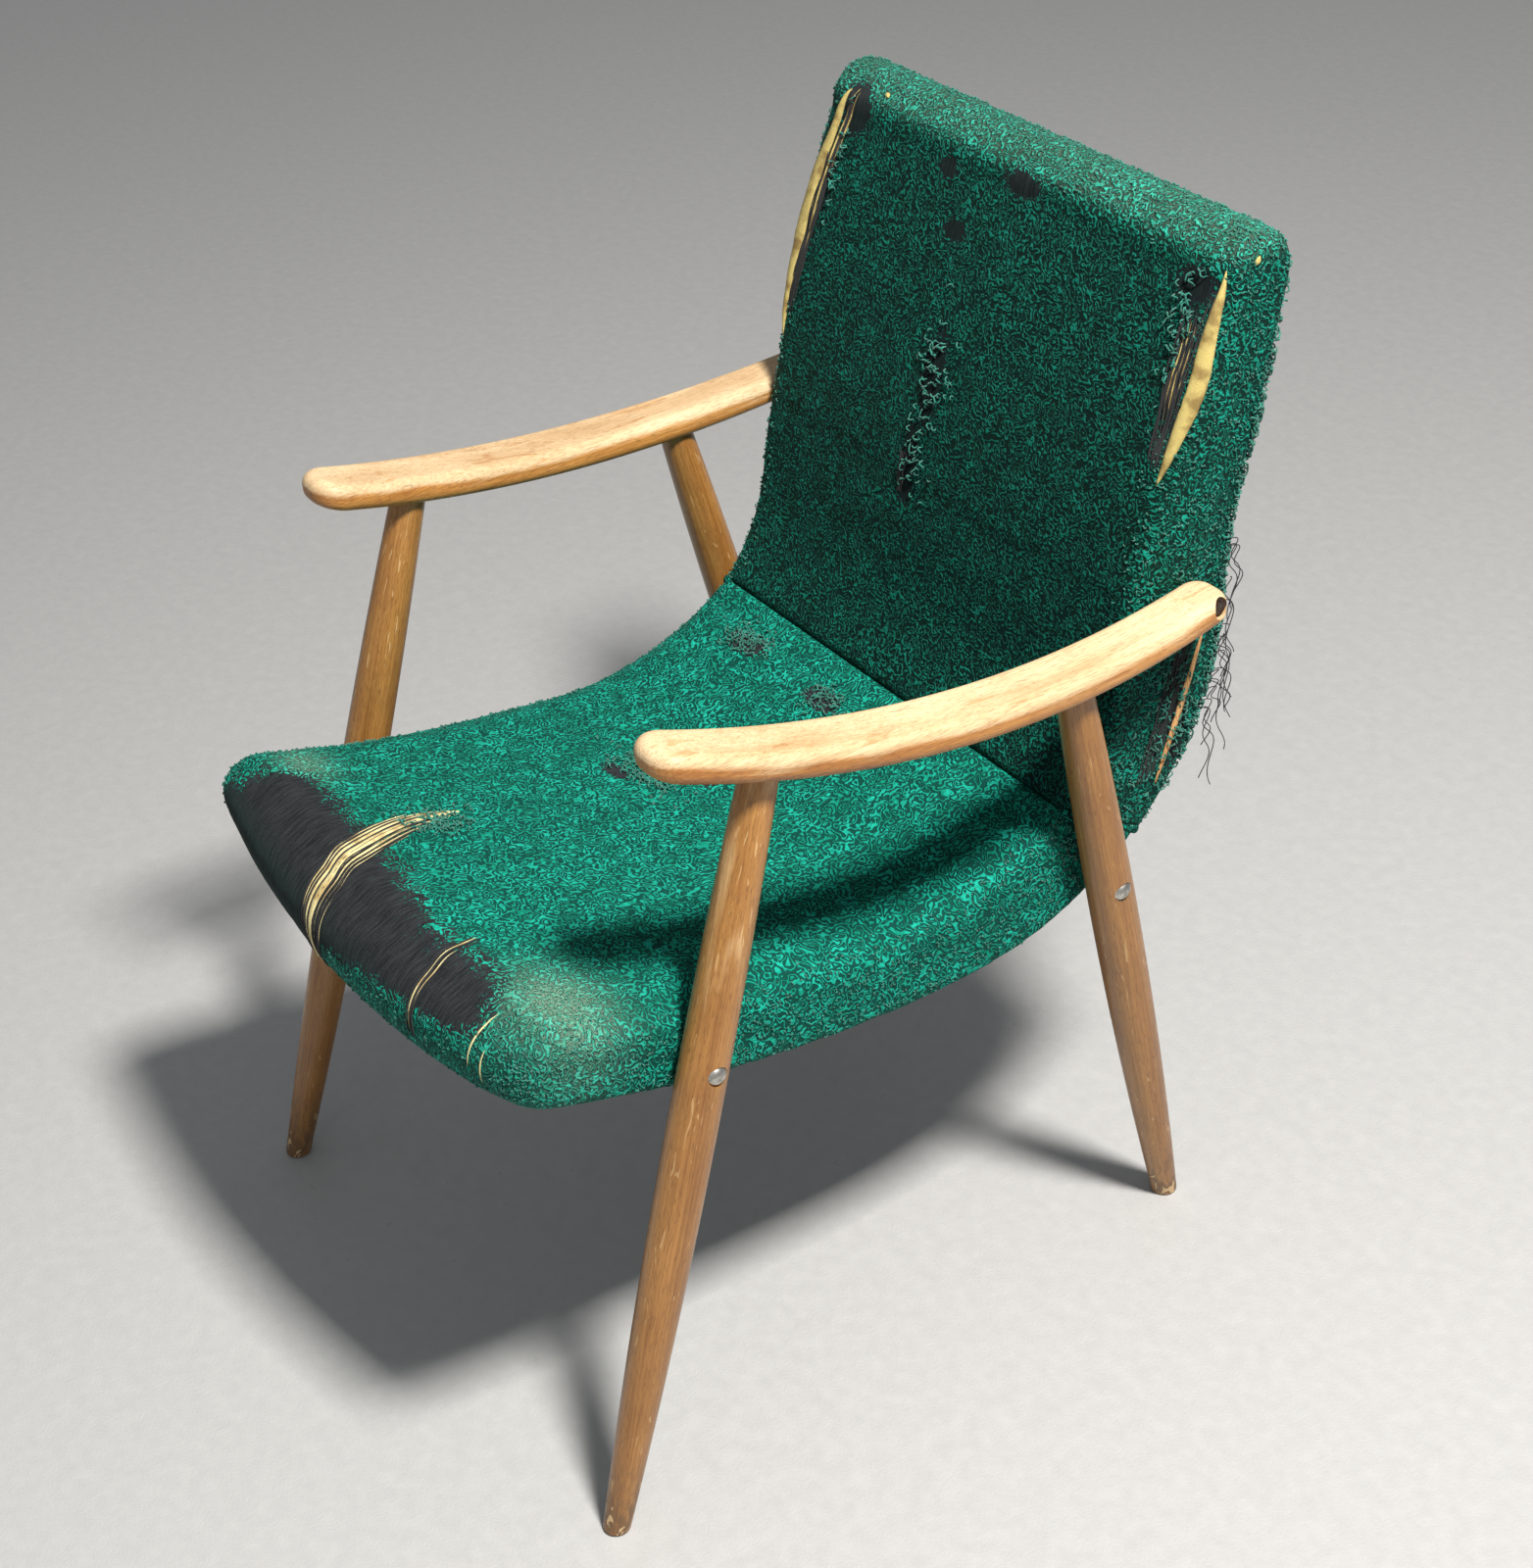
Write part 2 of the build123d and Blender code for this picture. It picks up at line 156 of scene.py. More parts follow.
def new_group(name, inputs, outputs):
    """An empty node group with named inputs and outputs, given as {name: socket type}."""
    tree = bpy.data.node_groups.new(name, "ShaderNodeTree")
    for direction, sockets in (("INPUT", inputs), ("OUTPUT", outputs)):
        for socket, kind in sockets.items():
            tree.interface.new_socket(socket, in_out=direction, socket_type="NodeSocket" + kind)
    entry = tree.nodes.new("NodeGroupInput")
    leave = tree.nodes.new("NodeGroupOutput")
    return tree, entry.outputs, leave.inputs


def use_group(tree, group, inputs):
    """A node group placed in a material with its own values; gives back its outputs."""
    return put(tree, "Group", inputs, node_tree=group).outputs


def finish_with(tree, shader, colour, roughness, height, depth, strength=1.0):
    """Colour, roughness and bump led into a material's shader."""
    bump = put(tree, "Bump", {"Height": height, "Distance": depth, "Strength": strength})
    tree.links.new(colour, shader.inputs["Base Color"])
    tree.links.new(roughness, shader.inputs["Roughness"])
    tree.links.new(bump.outputs[0], shader.inputs["Normal"])


def rgb(red, green, blue):
    """A paint colour from 0 to 255, as the linear light that a shader takes."""
    colour = np.array([red, green, blue]) / 255
    light = np.where(colour <= 0.04045, colour / 12.92, ((colour + 0.055) / 1.055) ** 2.4)
    return (*light.tolist(), 1.0)


floor_mesh = bpy.data.meshes.new("floor")
REACH = 14.0
floor_mesh.from_pydata([(-REACH, -REACH, 0), (REACH, -REACH, 0), (REACH, REACH, 0),
                        (-REACH, REACH, 0)], [], [(0, 1, 2, 3)])
floor = bpy.data.objects.new("floor", floor_mesh)
scene.collection.objects.link(floor)
floor_finish, tree, shader, place = new_material("pale_floor")
shade = blend(tree, noise(tree, place, 90, 4), rgb(172, 172, 172), rgb(182, 182, 181))
finish_with(tree, shader, shade, noise(tree, place, 60), noise(tree, place, 400, 3), 0.0004)
floor_mesh.materials.append(floor_finish)

# ------------------------------------------------------------ legs
# Four legs turned from beech: thickest where the bolt goes through, slim at the floor, with a
# tenon glued into the armrest. Honey lacquer, rubbed thin on top and chipped at the feet.

LEG_LINES = {"leg_front": ((0.2555, -0.295, 0), (0.2345, -0.1185, 0.59)),
             "leg_rear": ((0.2275, 0.2575, 0), (0.2495, 0.1265, 0.56))}
HONEY = rgb(176, 126, 66)
AMBER = rgb(128, 82, 36)
BARE_BEECH = rgb(214, 180, 132)
FOOT_DIRT = rgb(96, 74, 52)

beech, given, made = new_group(
    "beech_grain", {"Place": "Vector", "Light": "Color", "Dark": "Color"},
    {"Color": "Color", "Height": "Float", "Cloud": "Float"})
bands = streaks(beech, given["Place"], (38, 38, 1.6), 3, 0.4)
fibres = streaks(beech, given["Place"], (620, 620, 9), 3)
flecks = streaks(beech, given["Place"], (1500, 1500, 130), 1)
cloud = noise(beech, given["Place"], 14, 3)
tone = calc(beech, "MULTIPLY_ADD", bands, 0.75, calc(beech, "MULTIPLY", fibres, 0.45))
tone = spread(beech, calc(beech, "MULTIPLY_ADD", cloud, 0.35, tone), 0.52, 1.02)
wood_colour = blend(beech, tone, given["Dark"], given["Light"])
fleck_mask = spread(beech, flecks, 0.56, 0.68, 0, 0.5)
fleck_colour = blend(beech, 0.55, given["Dark"], rgb(70, 42, 20))
beech.links.new(blend(beech, fleck_mask, wood_colour, fleck_colour), made["Color"])
beech.links.new(calc(beech, "SUBTRACT", fibres, fleck_mask), made["Height"])
beech.links.new(cloud, made["Cloud"])


def leg_material(name, foot, top, worn_from, worn_share):
    """Lacquered beech with its grain along the leg, bare wood above a height and dirty feet."""
    material, tree, shader, place = new_material(name, Coat_Weight=0.25, Coat_Roughness=0.32)
    axis = Vector(top) - Vector(foot)
    turn = axis.to_track_quat("Z", "Y").to_euler()
    local = mapped(tree, place, location=foot, rotation=turn, kind="TEXTURE")
    grain = use_group(tree, beech, {"Place": local, "Light": HONEY, "Dark": AMBER})
    bare = use_group(tree, beech, {"Place": mapped(tree, local, location=(0.2, 0.1, 0.3)),
                                   "Light": BARE_BEECH, "Dark": rgb(186, 146, 92)})
    height = put(tree, "SeparateXYZ", {0: local}).outputs[2]
    rubbed = streaks(tree, local, (46, 46, 7), 4, 0.6)
    above = spread(tree, height, worn_from - 0.08, worn_from + 0.1, 0, worn_share)
    rub_mask = spread(tree, calc(tree, "ADD", rubbed, above), 0.72, 0.92)
    colour = blend(tree, rub_mask, grain["Color"], bare["Color"])
    scratch = streaks(tree, local, (260, 260, 34), 2, 1.2)
    scratch_mask = spread(tree, scratch, 0.66, 0.71, 0, 0.6)
    colour = blend(tree, scratch_mask, colour, bare["Color"])
    near_floor = spread(tree, height, 0.0, 0.09, 1, 0)
    chips = streaks(tree, local, (150, 150, 60), 3, 0.8)
    dirt = calc(tree, "MULTIPLY", near_floor, spread(tree, chips, 0.38, 0.6, 0.15, 0.8))
    colour = blend(tree, dirt, colour, FOOT_DIRT)
    chip_line = calc(tree, "MULTIPLY_ADD", near_floor, 0.16, chips)
    chip_mask = spread(tree, chip_line, 0.76, 0.79, 0, 0.85)
    colour = blend(tree, chip_mask, colour, BARE_BEECH)
    roughness = spread(tree, calc(tree, "ADD", rub_mask, dirt), 0, 1, 0.36, 0.68)
    relief = calc(tree, "SUBTRACT", grain["Height"], calc(tree, "MULTIPLY", chip_mask, 1.5))
    finish_with(tree, shader, colour, roughness, relief, 0.00025, 0.6)
    return material


def mirrored(point):
    """The same point on the other side of the chair."""
    return (-point[0], point[1], point[2])


def dress(node_name, material):
    """A part of the frame keeps its shape and takes a material."""
    mesh = nodes[node_name].data
    mesh.materials.clear()
    mesh.materials.append(material)
    mesh.polygons.foreach_set("material_index", np.zeros(len(mesh.polygons), np.int32))


for line, (foot, top) in LEG_LINES.items():
    for side, move, worn in (("left", tuple, 0.26), ("right", mirrored, 0.14)):
        name = f"{line}_{side}"
        height = 0.43 if line == "leg_front" else 0.5
        dress(name, leg_material(f"{name}_beech", move(foot), move(top), height, worn))

# ------------------------------------------------------------ armrests
# Two armrests bent from beech and glued onto the leg tenons. The lacquer is worn off the tops,
# where the wood is bleached, and stays amber along the lower edges and underneath.


def armrest_material(name, shift):
    """Bleached beech on the faces that look up, lacquer on the ones that look down."""
    material, tree, shader, place = new_material(name, Coat_Weight=0.12, Coat_Roughness=0.35)
    local = mapped(tree, place, location=(shift, 0.4, 0.2), rotation=(radians(90), 0, 0))
    lacquer = use_group(tree, beech, {"Place": local, "Light": rgb(196, 140, 74),
                                      "Dark": rgb(150, 92, 38)})
    bleached = use_group(tree, beech, {"Place": local, "Light": rgb(216, 190, 152),
                                       "Dark": rgb(180, 146, 104)})
    up = put(tree, "SeparateXYZ", {0: put(tree, "NewGeometry").outputs["Normal"]}).outputs[2]
    ragged = streaks(tree, local, (70, 70, 9), 4, 0.5)
    edge = calc(tree, "MULTIPLY_ADD", ragged, 0.9, up)
    worn = spread(tree, edge, 0.42, 0.8)
    colour = blend(tree, worn, lacquer["Color"], bleached["Color"])
    left_over = spread(tree, streaks(tree, local, (120, 120, 16), 3, 0.8),
                       0.6, 0.68, 0, 0.45)
    colour = blend(tree, left_over, colour, lacquer["Color"])
    stain = streaks(tree, local, (200, 200, 40), 3, 1.0)
    colour = blend(tree, spread(tree, stain, 0.68, 0.76, 0, 0.5), colour, rgb(96, 70, 44))
    finish_with(tree, shader, colour, spread(tree, worn, 0, 1, 0.4, 0.62), bleached["Height"],
                0.00028, 0.7)
    return material


dress("armrest_left", armrest_material("armrest_left_beech", 0.0))
dress("armrest_right", armrest_material("armrest_right_beech", 0.37))

# ------------------------------------------------------------ bolts, screws, washers and nuts
# Zinc-plated steel. The bolts' low domed heads sit in shallow seats on the legs, and each
# armrest has a washer and a screw in a round recess near its rear end.


def metal_material(name, bright, dull, roughness):
    """Plated steel, dulled in clouds and lightly scratched."""
    material, tree, shader, place = new_material(name, Metallic=1.0)
    clouds = spread(tree, noise(tree, place, 260, 4), 0.35, 0.7)
    scratches = streaks(tree, place, (900, 6000, 900), 2)
    colour = blend(tree, clouds, bright, dull)
    rough = calc(tree, "MULTIPLY_ADD", clouds, 0.22, roughness)
    finish_with(tree, shader, colour, rough, scratches, 0.00004, 0.5)
    return material


zinc = metal_material("zinc_plate", rgb(196, 194, 188), rgb(158, 154, 146), 0.34)
spring_steel = metal_material("spring_steel", rgb(98, 92, 88), rgb(84, 58, 42), 0.42)
dress("leg_bolts", zinc)
dress("leg_tee_nuts", zinc)
dress("armrest_screws", spring_steel)
dress("armrest_washers", spring_steel)

# ------------------------------------------------------------ frame of the shell
# Side rails sawn from bent beech, cross rails doweled between them, zigzag springs hooked in
# clips, and burlap over the springs. All of it is closed in by the cover.


def bare_beech_material(name, light, dark, turned):
    """Bare beech whose grain, upright at first, is turned by that many degrees about Y."""
    material, tree, shader, place = new_material(name)
    along = mapped(tree, place, rotation=(0, radians(turned), 0))
    grain = use_group(tree, beech, {"Place": along, "Light": light, "Dark": dark})
    finish_with(tree, shader, grain["Color"], spread(tree, grain["Cloud"], 0, 1, 0.6, 0.8),
                grain["Height"], 0.0003)
    return material


rail_beech = bare_beech_material("rail_beech", rgb(214, 176, 124), rgb(176, 130, 80), 90)
for name in ("side_rail_left", "side_rail_right", "front_rail", "crease_rail", "top_rail",
             "rail_dowels"):
    dress(name, rail_beech)
for name in ("seat_springs", "back_springs", "spring_clips", "staples"):
    dress(name, spring_steel)


def woven_material(name, yarn, gap, pitch, roughness):
    """Plain weave: two sets of threads, sine waves at right angles, over and under."""
    material, tree, shader, place = new_material(name)
    x, y, z = put(tree, "SeparateXYZ", {0: place}).outputs
    turns = 2 * pi / pitch
    warp = calc(tree, "SINE", calc(tree, "MULTIPLY", x, turns))
    run = calc(tree, "ADD", y, z)
    weft = calc(tree, "SINE", calc(tree, "MULTIPLY", run, turns))
    weave = calc(tree, "MULTIPLY_ADD", calc(tree, "MULTIPLY", warp, weft), 0.5, 0.5)
    slub = noise(tree, place, 900, 3)
    share = spread(tree, calc(tree, "MULTIPLY_ADD", slub, 0.6, weave), 0.3, 1.1)
    colour = blend(tree, share, gap, yarn)
    finish_with(tree, shader, colour, spread(tree, slub, 0, 1, roughness - 0.1, roughness),
                weave, 0.0003)
    return material


burlap = woven_material("burlap_weave", rgb(176, 146, 98), rgb(112, 86, 52), 0.0026, 0.95)
dust_cloth = woven_material("dust_cloth_weave", rgb(52, 50, 50), rgb(24, 23, 24), 0.0011, 0.92)
dress("seat_burlap", burlap)
dress("back_burlap", burlap)
dress("bottom_cloth", dust_cloth)

# ------------------------------------------------------------ cover of the seat and the back
# Foam pads under emerald boucle, sewn over the shell's frame. Each pad is its side outline
# carried across the chair: the seat bows forward in the middle, and the upper edges are soft.

HALF_WIDTH = 0.223
SLACK = 0.0008
UNDER_INSET = 0.003
BOW = 0.025
BOW_DROP = 0.024
CREASE = np.array((0.15, 0.417))
SPLIT_LENGTH = 0.554
WRAP_LENGTH = 0.11


def arc(a, b, c, count):
    """Round arc from a over b to c: its centre is as far from all three, angles go evenly."""
    a, b, c = (np.array(p, float) for p in (a, b, c))
    sides = 2 * np.array((b - a, c - a))
    centre = np.linalg.solve(sides, np.array((b @ b - a @ a, c @ c - a @ a)))
    angles = np.unwrap([np.arctan2(*(p - centre)[::-1]) for p in (a, b, c)])
    turned = np.linspace(angles[0], angles[2], count)
    radius = np.linalg.norm(a - centre)
    return centre + radius * np.stack((np.cos(turned), np.sin(turned)), 1)


def smooth_line(points, count, start=None, end=None):
    """Cubic through the points; each tangent follows its neighbours, or is given at an end."""
    points = np.array(points, float)
    steps = np.linalg.norm(np.diff(points, axis=0), axis=1)
    at = np.concatenate(((0,), np.cumsum(steps)))
    slope = np.gradient(points, at, axis=0, edge_order=min(2, len(points) - 1))
    slope[0] = slope[0] if start is None else start
    slope[-1] = slope[-1] if end is None else end
    here = np.linspace(0, at[-1], count)
    piece = np.clip(np.searchsorted(at, here, side="right") - 1, 0, len(steps) - 1)
    t = ((here - at[piece]) / steps[piece])[:, None]
    width = steps[piece][:, None]
    return ((2 * t**3 - 3 * t**2 + 1) * points[piece] + (t**3 - 2 * t**2 + t) * width * slope[piece]
            + (3 * t**2 - 2 * t**3) * points[piece + 1] + (t**3 - t**2) * width * slope[piece + 1])


def lengths_along(line):
    """Distance from the start of a line to each of its points."""
    return np.concatenate(((0,), np.cumsum(np.linalg.norm(np.diff(line, axis=0), axis=1))))


TOP_LEAN = radians(73)
UNDER = np.concatenate((
    arc((-0.3075, 0.384), (-0.1055, 0.322), (0.0725, 0.311), 400)[:-1],
    arc((0.0725, 0.311), (0.2089, 0.3647), (0.2855, 0.49), 300)[:-1],
    smooth_line(((0.2855, 0.49), (0.3015, 0.64), (0.3375, 0.792)), 300,
                (0.223, 0.975), (np.cos(TOP_LEAN), np.sin(TOP_LEAN)))))
UNDER_AT = lengths_along(UNDER)
UNDER_SEAT = UNDER[:700]
UNDER_REAR = UNDER[500:]


def rear_y(height):
    """How far back the shell's rear outline is at a height."""
    return np.interp(height, UNDER_REAR[:, 1], UNDER_REAR[:, 0])


def under(start, stop, depth, count):
    """Stretch of the shell's lower and rear outline, moved inward by a depth."""
    slope = np.gradient(UNDER, UNDER_AT, axis=0)
    inner = UNDER + depth * np.stack((-slope[:, 1], slope[:, 0]), 1)
    at = np.linspace(start, stop, count)
    return np.stack([np.interp(at, UNDER_AT, inner[:, k]) for k in (0, 1)], 1)


def seat_outline(bow):
    """Side outline of the seat, from the crease over the top and the nose and back below."""
    crown = 0.006 * bow
    nose_top = (-0.291 - 0.01 * bow, 0.425)
    nose_low = (-0.3 - 0.018 * bow, 0.381 - BOW_DROP * bow)
    top = smooth_line((CREASE, (0.095, 0.391 + crown), (0.025, 0.3745 + crown),
                       (-0.085, 0.383 + crown), (-0.2, 0.403 + crown), nose_top), 130)
    nose = arc(nose_top, (-0.3125 - BOW * bow, 0.404 - 0.012 * bow), nose_low, 26)
    lip = np.linspace(nose_low, under(WRAP_LENGTH, WRAP_LENGTH, UNDER_INSET, 1)[0], 26)
    below = under(WRAP_LENGTH, SPLIT_LENGTH, UNDER_INSET, 110)
    split = np.linspace(below[-1], CREASE, 22)
    loop = np.concatenate((top[:-1], nose[:-1], lip[:-1], below[:-1], split[:-1]))
    at = np.arange(len(loop))
    near_nose = (ease(at, 98, 114) * (1 - ease(at, 158, 174)))[:, None]
    return loop + near_nose * (smoothed(loop, 26) - loop)


def back_outline():
    """Side outline of the back, from the crease up the front, over the top and down behind."""
    front = smooth_line((CREASE, (0.177, 0.462), (0.1975, 0.55), (0.222, 0.65),
                         (0.247, 0.726), (0.275, 0.795)), 120)
    top = arc(front[-1], (0.304, 0.828), UNDER[-1], 26)
    rear = under(UNDER_AT[-1], SPLIT_LENGTH, 0, 130)
    split = np.linspace(rear[-1], CREASE, 22)
    return np.concatenate((front[:-1], top[:-1], rear[:-1], split[:-1]))


def inward(loop, hand):
    """Unit normals that point into a closed outline."""
    slope = np.roll(loop, -1, 0) - np.roll(loop, 1, 0)
    slope /= np.linalg.norm(slope, axis=1)[:, None]
    return hand * np.stack((-slope[:, 1], slope[:, 0]), 1)


def smoothed(values, turns):
    """Values round a loop, each averaged with its neighbours that many times."""
    for _ in range(turns):
        values = (np.roll(values, 1, 0) + 2 * values + np.roll(values, -1, 0)) / 4
    return values


def pad_surface(side_loop, middle_loop, radii, slack, half_width, hand, flare):
    """Points of a pad: the outline bowed by 1 - (x / half_width)^2, and both ends rounded.
    Each point of the outline is wider by its own flare.

    Round the ends each point moves inward by r (1 - cos a) and outward in x by r sin a."""
    quarter = np.linspace(pi / 2, 0, 8)
    across = np.linspace(-1, 1, 47)
    t = np.concatenate((-np.ones(7), across, np.ones(7)))[:, None]
    a = np.concatenate((quarter[:-1], np.zeros(47), quarter[::-1][1:]))[:, None]
    side = np.sign(t) * (a > 0)
    x = t * (half_width - radii) + side * radii * np.sin(a)
    bow = 1 - (x / half_width) ** 2
    loop = side_loop + bow[..., None] * (middle_loop - side_loop)
    normal = inward(side_loop, hand)
    loop = loop + normal * (slack + radii * (1 - np.cos(a)))[..., None]
    x = x * (1 + flare)
    return np.concatenate((x[..., None], loop), 2)


def mesh_of(name, points, quads, ends=()):
    """A new mesh from points and faces, with its faces made to look outward."""
    mesh = bpy.data.meshes.new(name)
    mesh.from_pydata(points.reshape(-1, 3), [], quads.tolist() + [list(e) for e in ends])
    form = bmesh.new()
    form.from_mesh(mesh)
    bmesh.ops.recalc_face_normals(form, faces=form.faces)
    form.to_mesh(mesh)
    form.free()
    mesh.polygons.foreach_set("use_smooth", np.ones(len(mesh.polygons), bool))
    piece = bpy.data.objects.new(name, mesh)
    scene.collection.objects.link(piece)
    return piece


def closed_pad(name, grid):
    """Skin over a pad's grid of points, whose rings are closed, with a flat face at each end."""
    rings, around = grid.shape[:2]
    ring, step = np.meshgrid(np.arange(rings - 1), np.arange(around), indexing="ij")
    after = (step + 1) % around
    quads = np.stack((ring * around + step, ring * around + after,
                      (ring + 1) * around + after, (ring + 1) * around + step), -1)
    last = (rings - 1) * around
    ends = (range(around), range(last, last + around))
    return mesh_of(name, grid, quads.reshape(-1, 4), ends)


def spots(mesh):
    """Places of a mesh's vertices as one array."""
    places = np.empty(len(mesh.vertices) * 3, np.float32)
    mesh.vertices.foreach_get("co", places)
    return places.reshape(-1, 3).astype(float)


def directions(mesh):
    """Unit directions that a mesh's vertices face, as one array."""
    faced = np.empty(len(mesh.vertices) * 3, np.float32)
    mesh.vertices.foreach_get("normal", faced)
    return faced.reshape(-1, 3).astype(float)


def apply_modifiers(piece):
    """What a piece's modifiers make becomes its mesh."""
    seen = piece.evaluated_get(bpy.context.evaluated_depsgraph_get())
    mesh = bpy.data.meshes.new_from_object(seen)
    piece.modifiers.clear()
    piece.data = mesh
    mesh.polygons.foreach_set("use_smooth", np.ones(len(mesh.polygons), bool))


def stuff(piece, held, cap):
    """Remesh a pad and blow its cover up as cloth. Each point then moves only in the direction
    it faces: hardly inward, and outward by no more than the cap.

    held(places) is how firmly each point is fixed to the frame, from 0 to 1."""
    remesh = piece.modifiers.new("remesh", "REMESH")
    remesh.mode = "VOXEL"
    remesh.voxel_size = 0.005
    apply_modifiers(piece)
    start = spots(piece.data)
    faced = directions(piece.data)
    fixed = piece.vertex_groups.new(name="held")
    for share in (0.25, 0.5, 0.75, 1.0):
        picked = np.flatnonzero(np.abs(held(start) - share) <= 0.125)
        fixed.add(picked.tolist(), share, "REPLACE")
    cloth = piece.modifiers.new("cloth", "CLOTH")
    for setting, value in (("quality", 5), ("mass", 0.25), ("tension_stiffness", 20),
                           ("compression_stiffness", 20), ("bending_stiffness", 2),
                           ("use_pressure", True), ("uniform_pressure_force", 4),
                           ("vertex_group_mass", "held")):
        setattr(cloth.settings, setting, value)
    cloth.settings.effector_weights.gravity = 0
    cloth.collision_settings.use_collision = False
    for step in range(1, 21):
        scene.frame_set(step)
    apply_modifiers(piece)
    scene.frame_set(1)
    swell = ((spots(piece.data) - start) * faced).sum(1)
    loose = np.clip(1.1 - held(start), 0.1, 1)
    swell = np.clip(swell, -0.0008, cap) * loose
    settled = start + faced * swell[:, None]
    piece.data.vertices.foreach_set("co", settled.ravel())
    settle = piece.modifiers.new("settle", "SMOOTH")
    settle.factor = 0.5
    settle.iterations = 3
    apply_modifiers(piece)
    smoother = piece.modifiers.new("subdivide", "SUBSURF")
    smoother.levels = 1
    smoother.render_levels = 1
    apply_modifiers(piece)


def ease(value, low, high):
    """0 below low, 1 above high, and a smooth step between them."""
    t = np.clip((value - low) / (high - low), 0, 1)
    return t * t * (3 - 2 * t)


def set_mask(piece, name, values):
    """A number for each vertex that the piece's material reads by name."""
    mask = piece.data.attributes.new(name, "FLOAT", "POINT")
    mask.data.foreach_set("value", np.asarray(values, np.float32))


seat_side = seat_outline(0.0)
seat_middle = seat_outline(1.0)
seat_radii = np.interp(np.arange(len(seat_side)), (0, 8, 24, 129, 156, 182, 290, 312),
                       (0.003, 0.009, 0.014, 0.012, 0.013, 0.006, 0.004, 0.002))
seat_slack = np.interp(np.arange(len(seat_side)), (0, 20, 105, 132, 158, 182, 200),
                       (0, SLACK, SLACK, -0.0035, -0.005, -0.003, 0))
seat_flare = 0.014 * np.clip((-0.16 - seat_side[:, 0]) / 0.1, 0, 1)
seat_pad = closed_pad("seat_pad", pad_surface(seat_side, seat_middle, smoothed(seat_radii, 6),
                                              seat_slack, HALF_WIDTH, 1, seat_flare))


def seat_held(places):
    """The seat is tight below and at the crease, and loose on top and over the nose."""
    low = np.interp(places[:, 1], *UNDER_SEAT.T) + 0.012
    below = 1 - ease(places[:, 2] - low, 0.0, 0.02)
    crease = ease(places[:, 1], 0.12, 0.15)
    return np.maximum(below * (places[:, 1] > -0.29), crease)


stuff(seat_pad, seat_held, 0.006)

back_side = back_outline()
back_radii = np.interp(np.arange(len(back_side)), (0, 8, 30, 119, 145, 165, 270, 294),
                       (0.003, 0.007, 0.009, 0.012, 0.014, 0.008, 0.005, 0.002))
back_slack = np.interp(np.arange(len(back_side)), (0, 20, 120, 150), (0, SLACK, SLACK, 0))
back_flare = 0.036 * np.clip((back_side[:, 1] - 0.6) / 0.08, 0, 1)
back_pad = closed_pad("back_pad", pad_surface(back_side, back_side, smoothed(back_radii, 6),
                                              back_slack, HALF_WIDTH, -1, back_flare))


def back_held(places):
    """The back is tight behind and at the crease, and loose in front and over the top."""
    rear = rear_y(places[:, 2]) - 0.012
    behind = ease(places[:, 1] - rear, -0.02, 0.0) * (places[:, 2] < 0.79)
    crease = 1 - ease(places[:, 2], 0.42, 0.62)
    return np.maximum(behind, crease)


stuff(back_pad, back_held, 0.0022)

# ------------------------------------------------------------ boucle
# Curly looped yarn, about 3 mm to a loop, on a charcoal backing. Where people sat and where
# the cloth bends, the loops are worn off down to the backing; in the sun they have bleached.
# The gaps between the loops are painted dark green: painted shade in the hollows.

LOOP_GREEN = rgb(22, 162, 140)
LOOP_DEEP = rgb(6, 124, 102)
# Painted shade: the dark green painted into the gaps between the loops, paler where they are pressed
# flat.
GAP_PAINTED_SHADE = rgb(1, 42, 36)
GAP_PAINTED_SHADE_FLAT = rgb(2, 72, 64)
CHARCOAL = rgb(46, 47, 50)
CHARCOAL_DARK = rgb(20, 20, 24)
BLEACHED = rgb(156, 182, 156)
LINT = rgb(92, 90, 92)
# Painted shade: a tint that the back's colour is multiplied by, below its lit top edge.
PAINTED_SHADE_TINT = rgb(84, 132, 132)

boucle, given, made = new_group(
    "boucle_loops", {"Place": "Vector", "Worn": "Float", "Bleached": "Float", "Flat": "Float"},
    {"Color": "Color", "Height": "Float", "Roughness": "Float"})
wander = put(boucle, "TexNoise", {"Vector": given["Place"], "Scale": 150, "Detail": 1.0})
shift = put(boucle, "VectorMath", {0: wander.outputs["Color"], 1: (0.5, 0.5, 0.5)},
            operation="SUBTRACT").outputs[0]
shift = put(boucle, "VectorMath", {0: shift, "Scale": 0.006}, operation="SCALE").outputs[0]
curled = put(boucle, "VectorMath", {0: given["Place"], 1: shift}, operation="ADD").outputs[0]
field = noise(boucle, curled, 150, 0.0)
worms = calc(boucle, "PINGPONG", calc(boucle, "MULTIPLY", field, 4.6), 0.5)
ridge = spread(boucle, calc(boucle, "MULTIPLY", worms, 2), 0.22, 0.86)
knots = noise(boucle, given["Place"], 330, 1)
least = calc(boucle, "MULTIPLY_ADD", given["Flat"], 0.5, 0.25)
ridge = calc(boucle, "MULTIPLY", ridge, spread(boucle, knots, 0.34, 0.56, least, 1.0))
thin = noise(boucle, given["Place"], 75, 4)
patch = noise(boucle, given["Place"], 26, 4)
wear = calc(boucle, "MULTIPLY_ADD", calc(boucle, "SUBTRACT", patch, 0.5), 0.5, given["Worn"])
wear = calc(boucle, "MULTIPLY_ADD", calc(boucle, "SUBTRACT", thin, 0.5), 0.6, wear)
cut = spread(boucle, wear, 0.15, 0.9, -0.3, 1.25)
left = spread(boucle, calc(boucle, "SUBTRACT", ridge, cut), -0.28, 0.26)
yarn = blend(boucle, spread(boucle, noise(boucle, given["Place"], 60, 5), 0.32, 0.68),
             LOOP_DEEP, LOOP_GREEN)
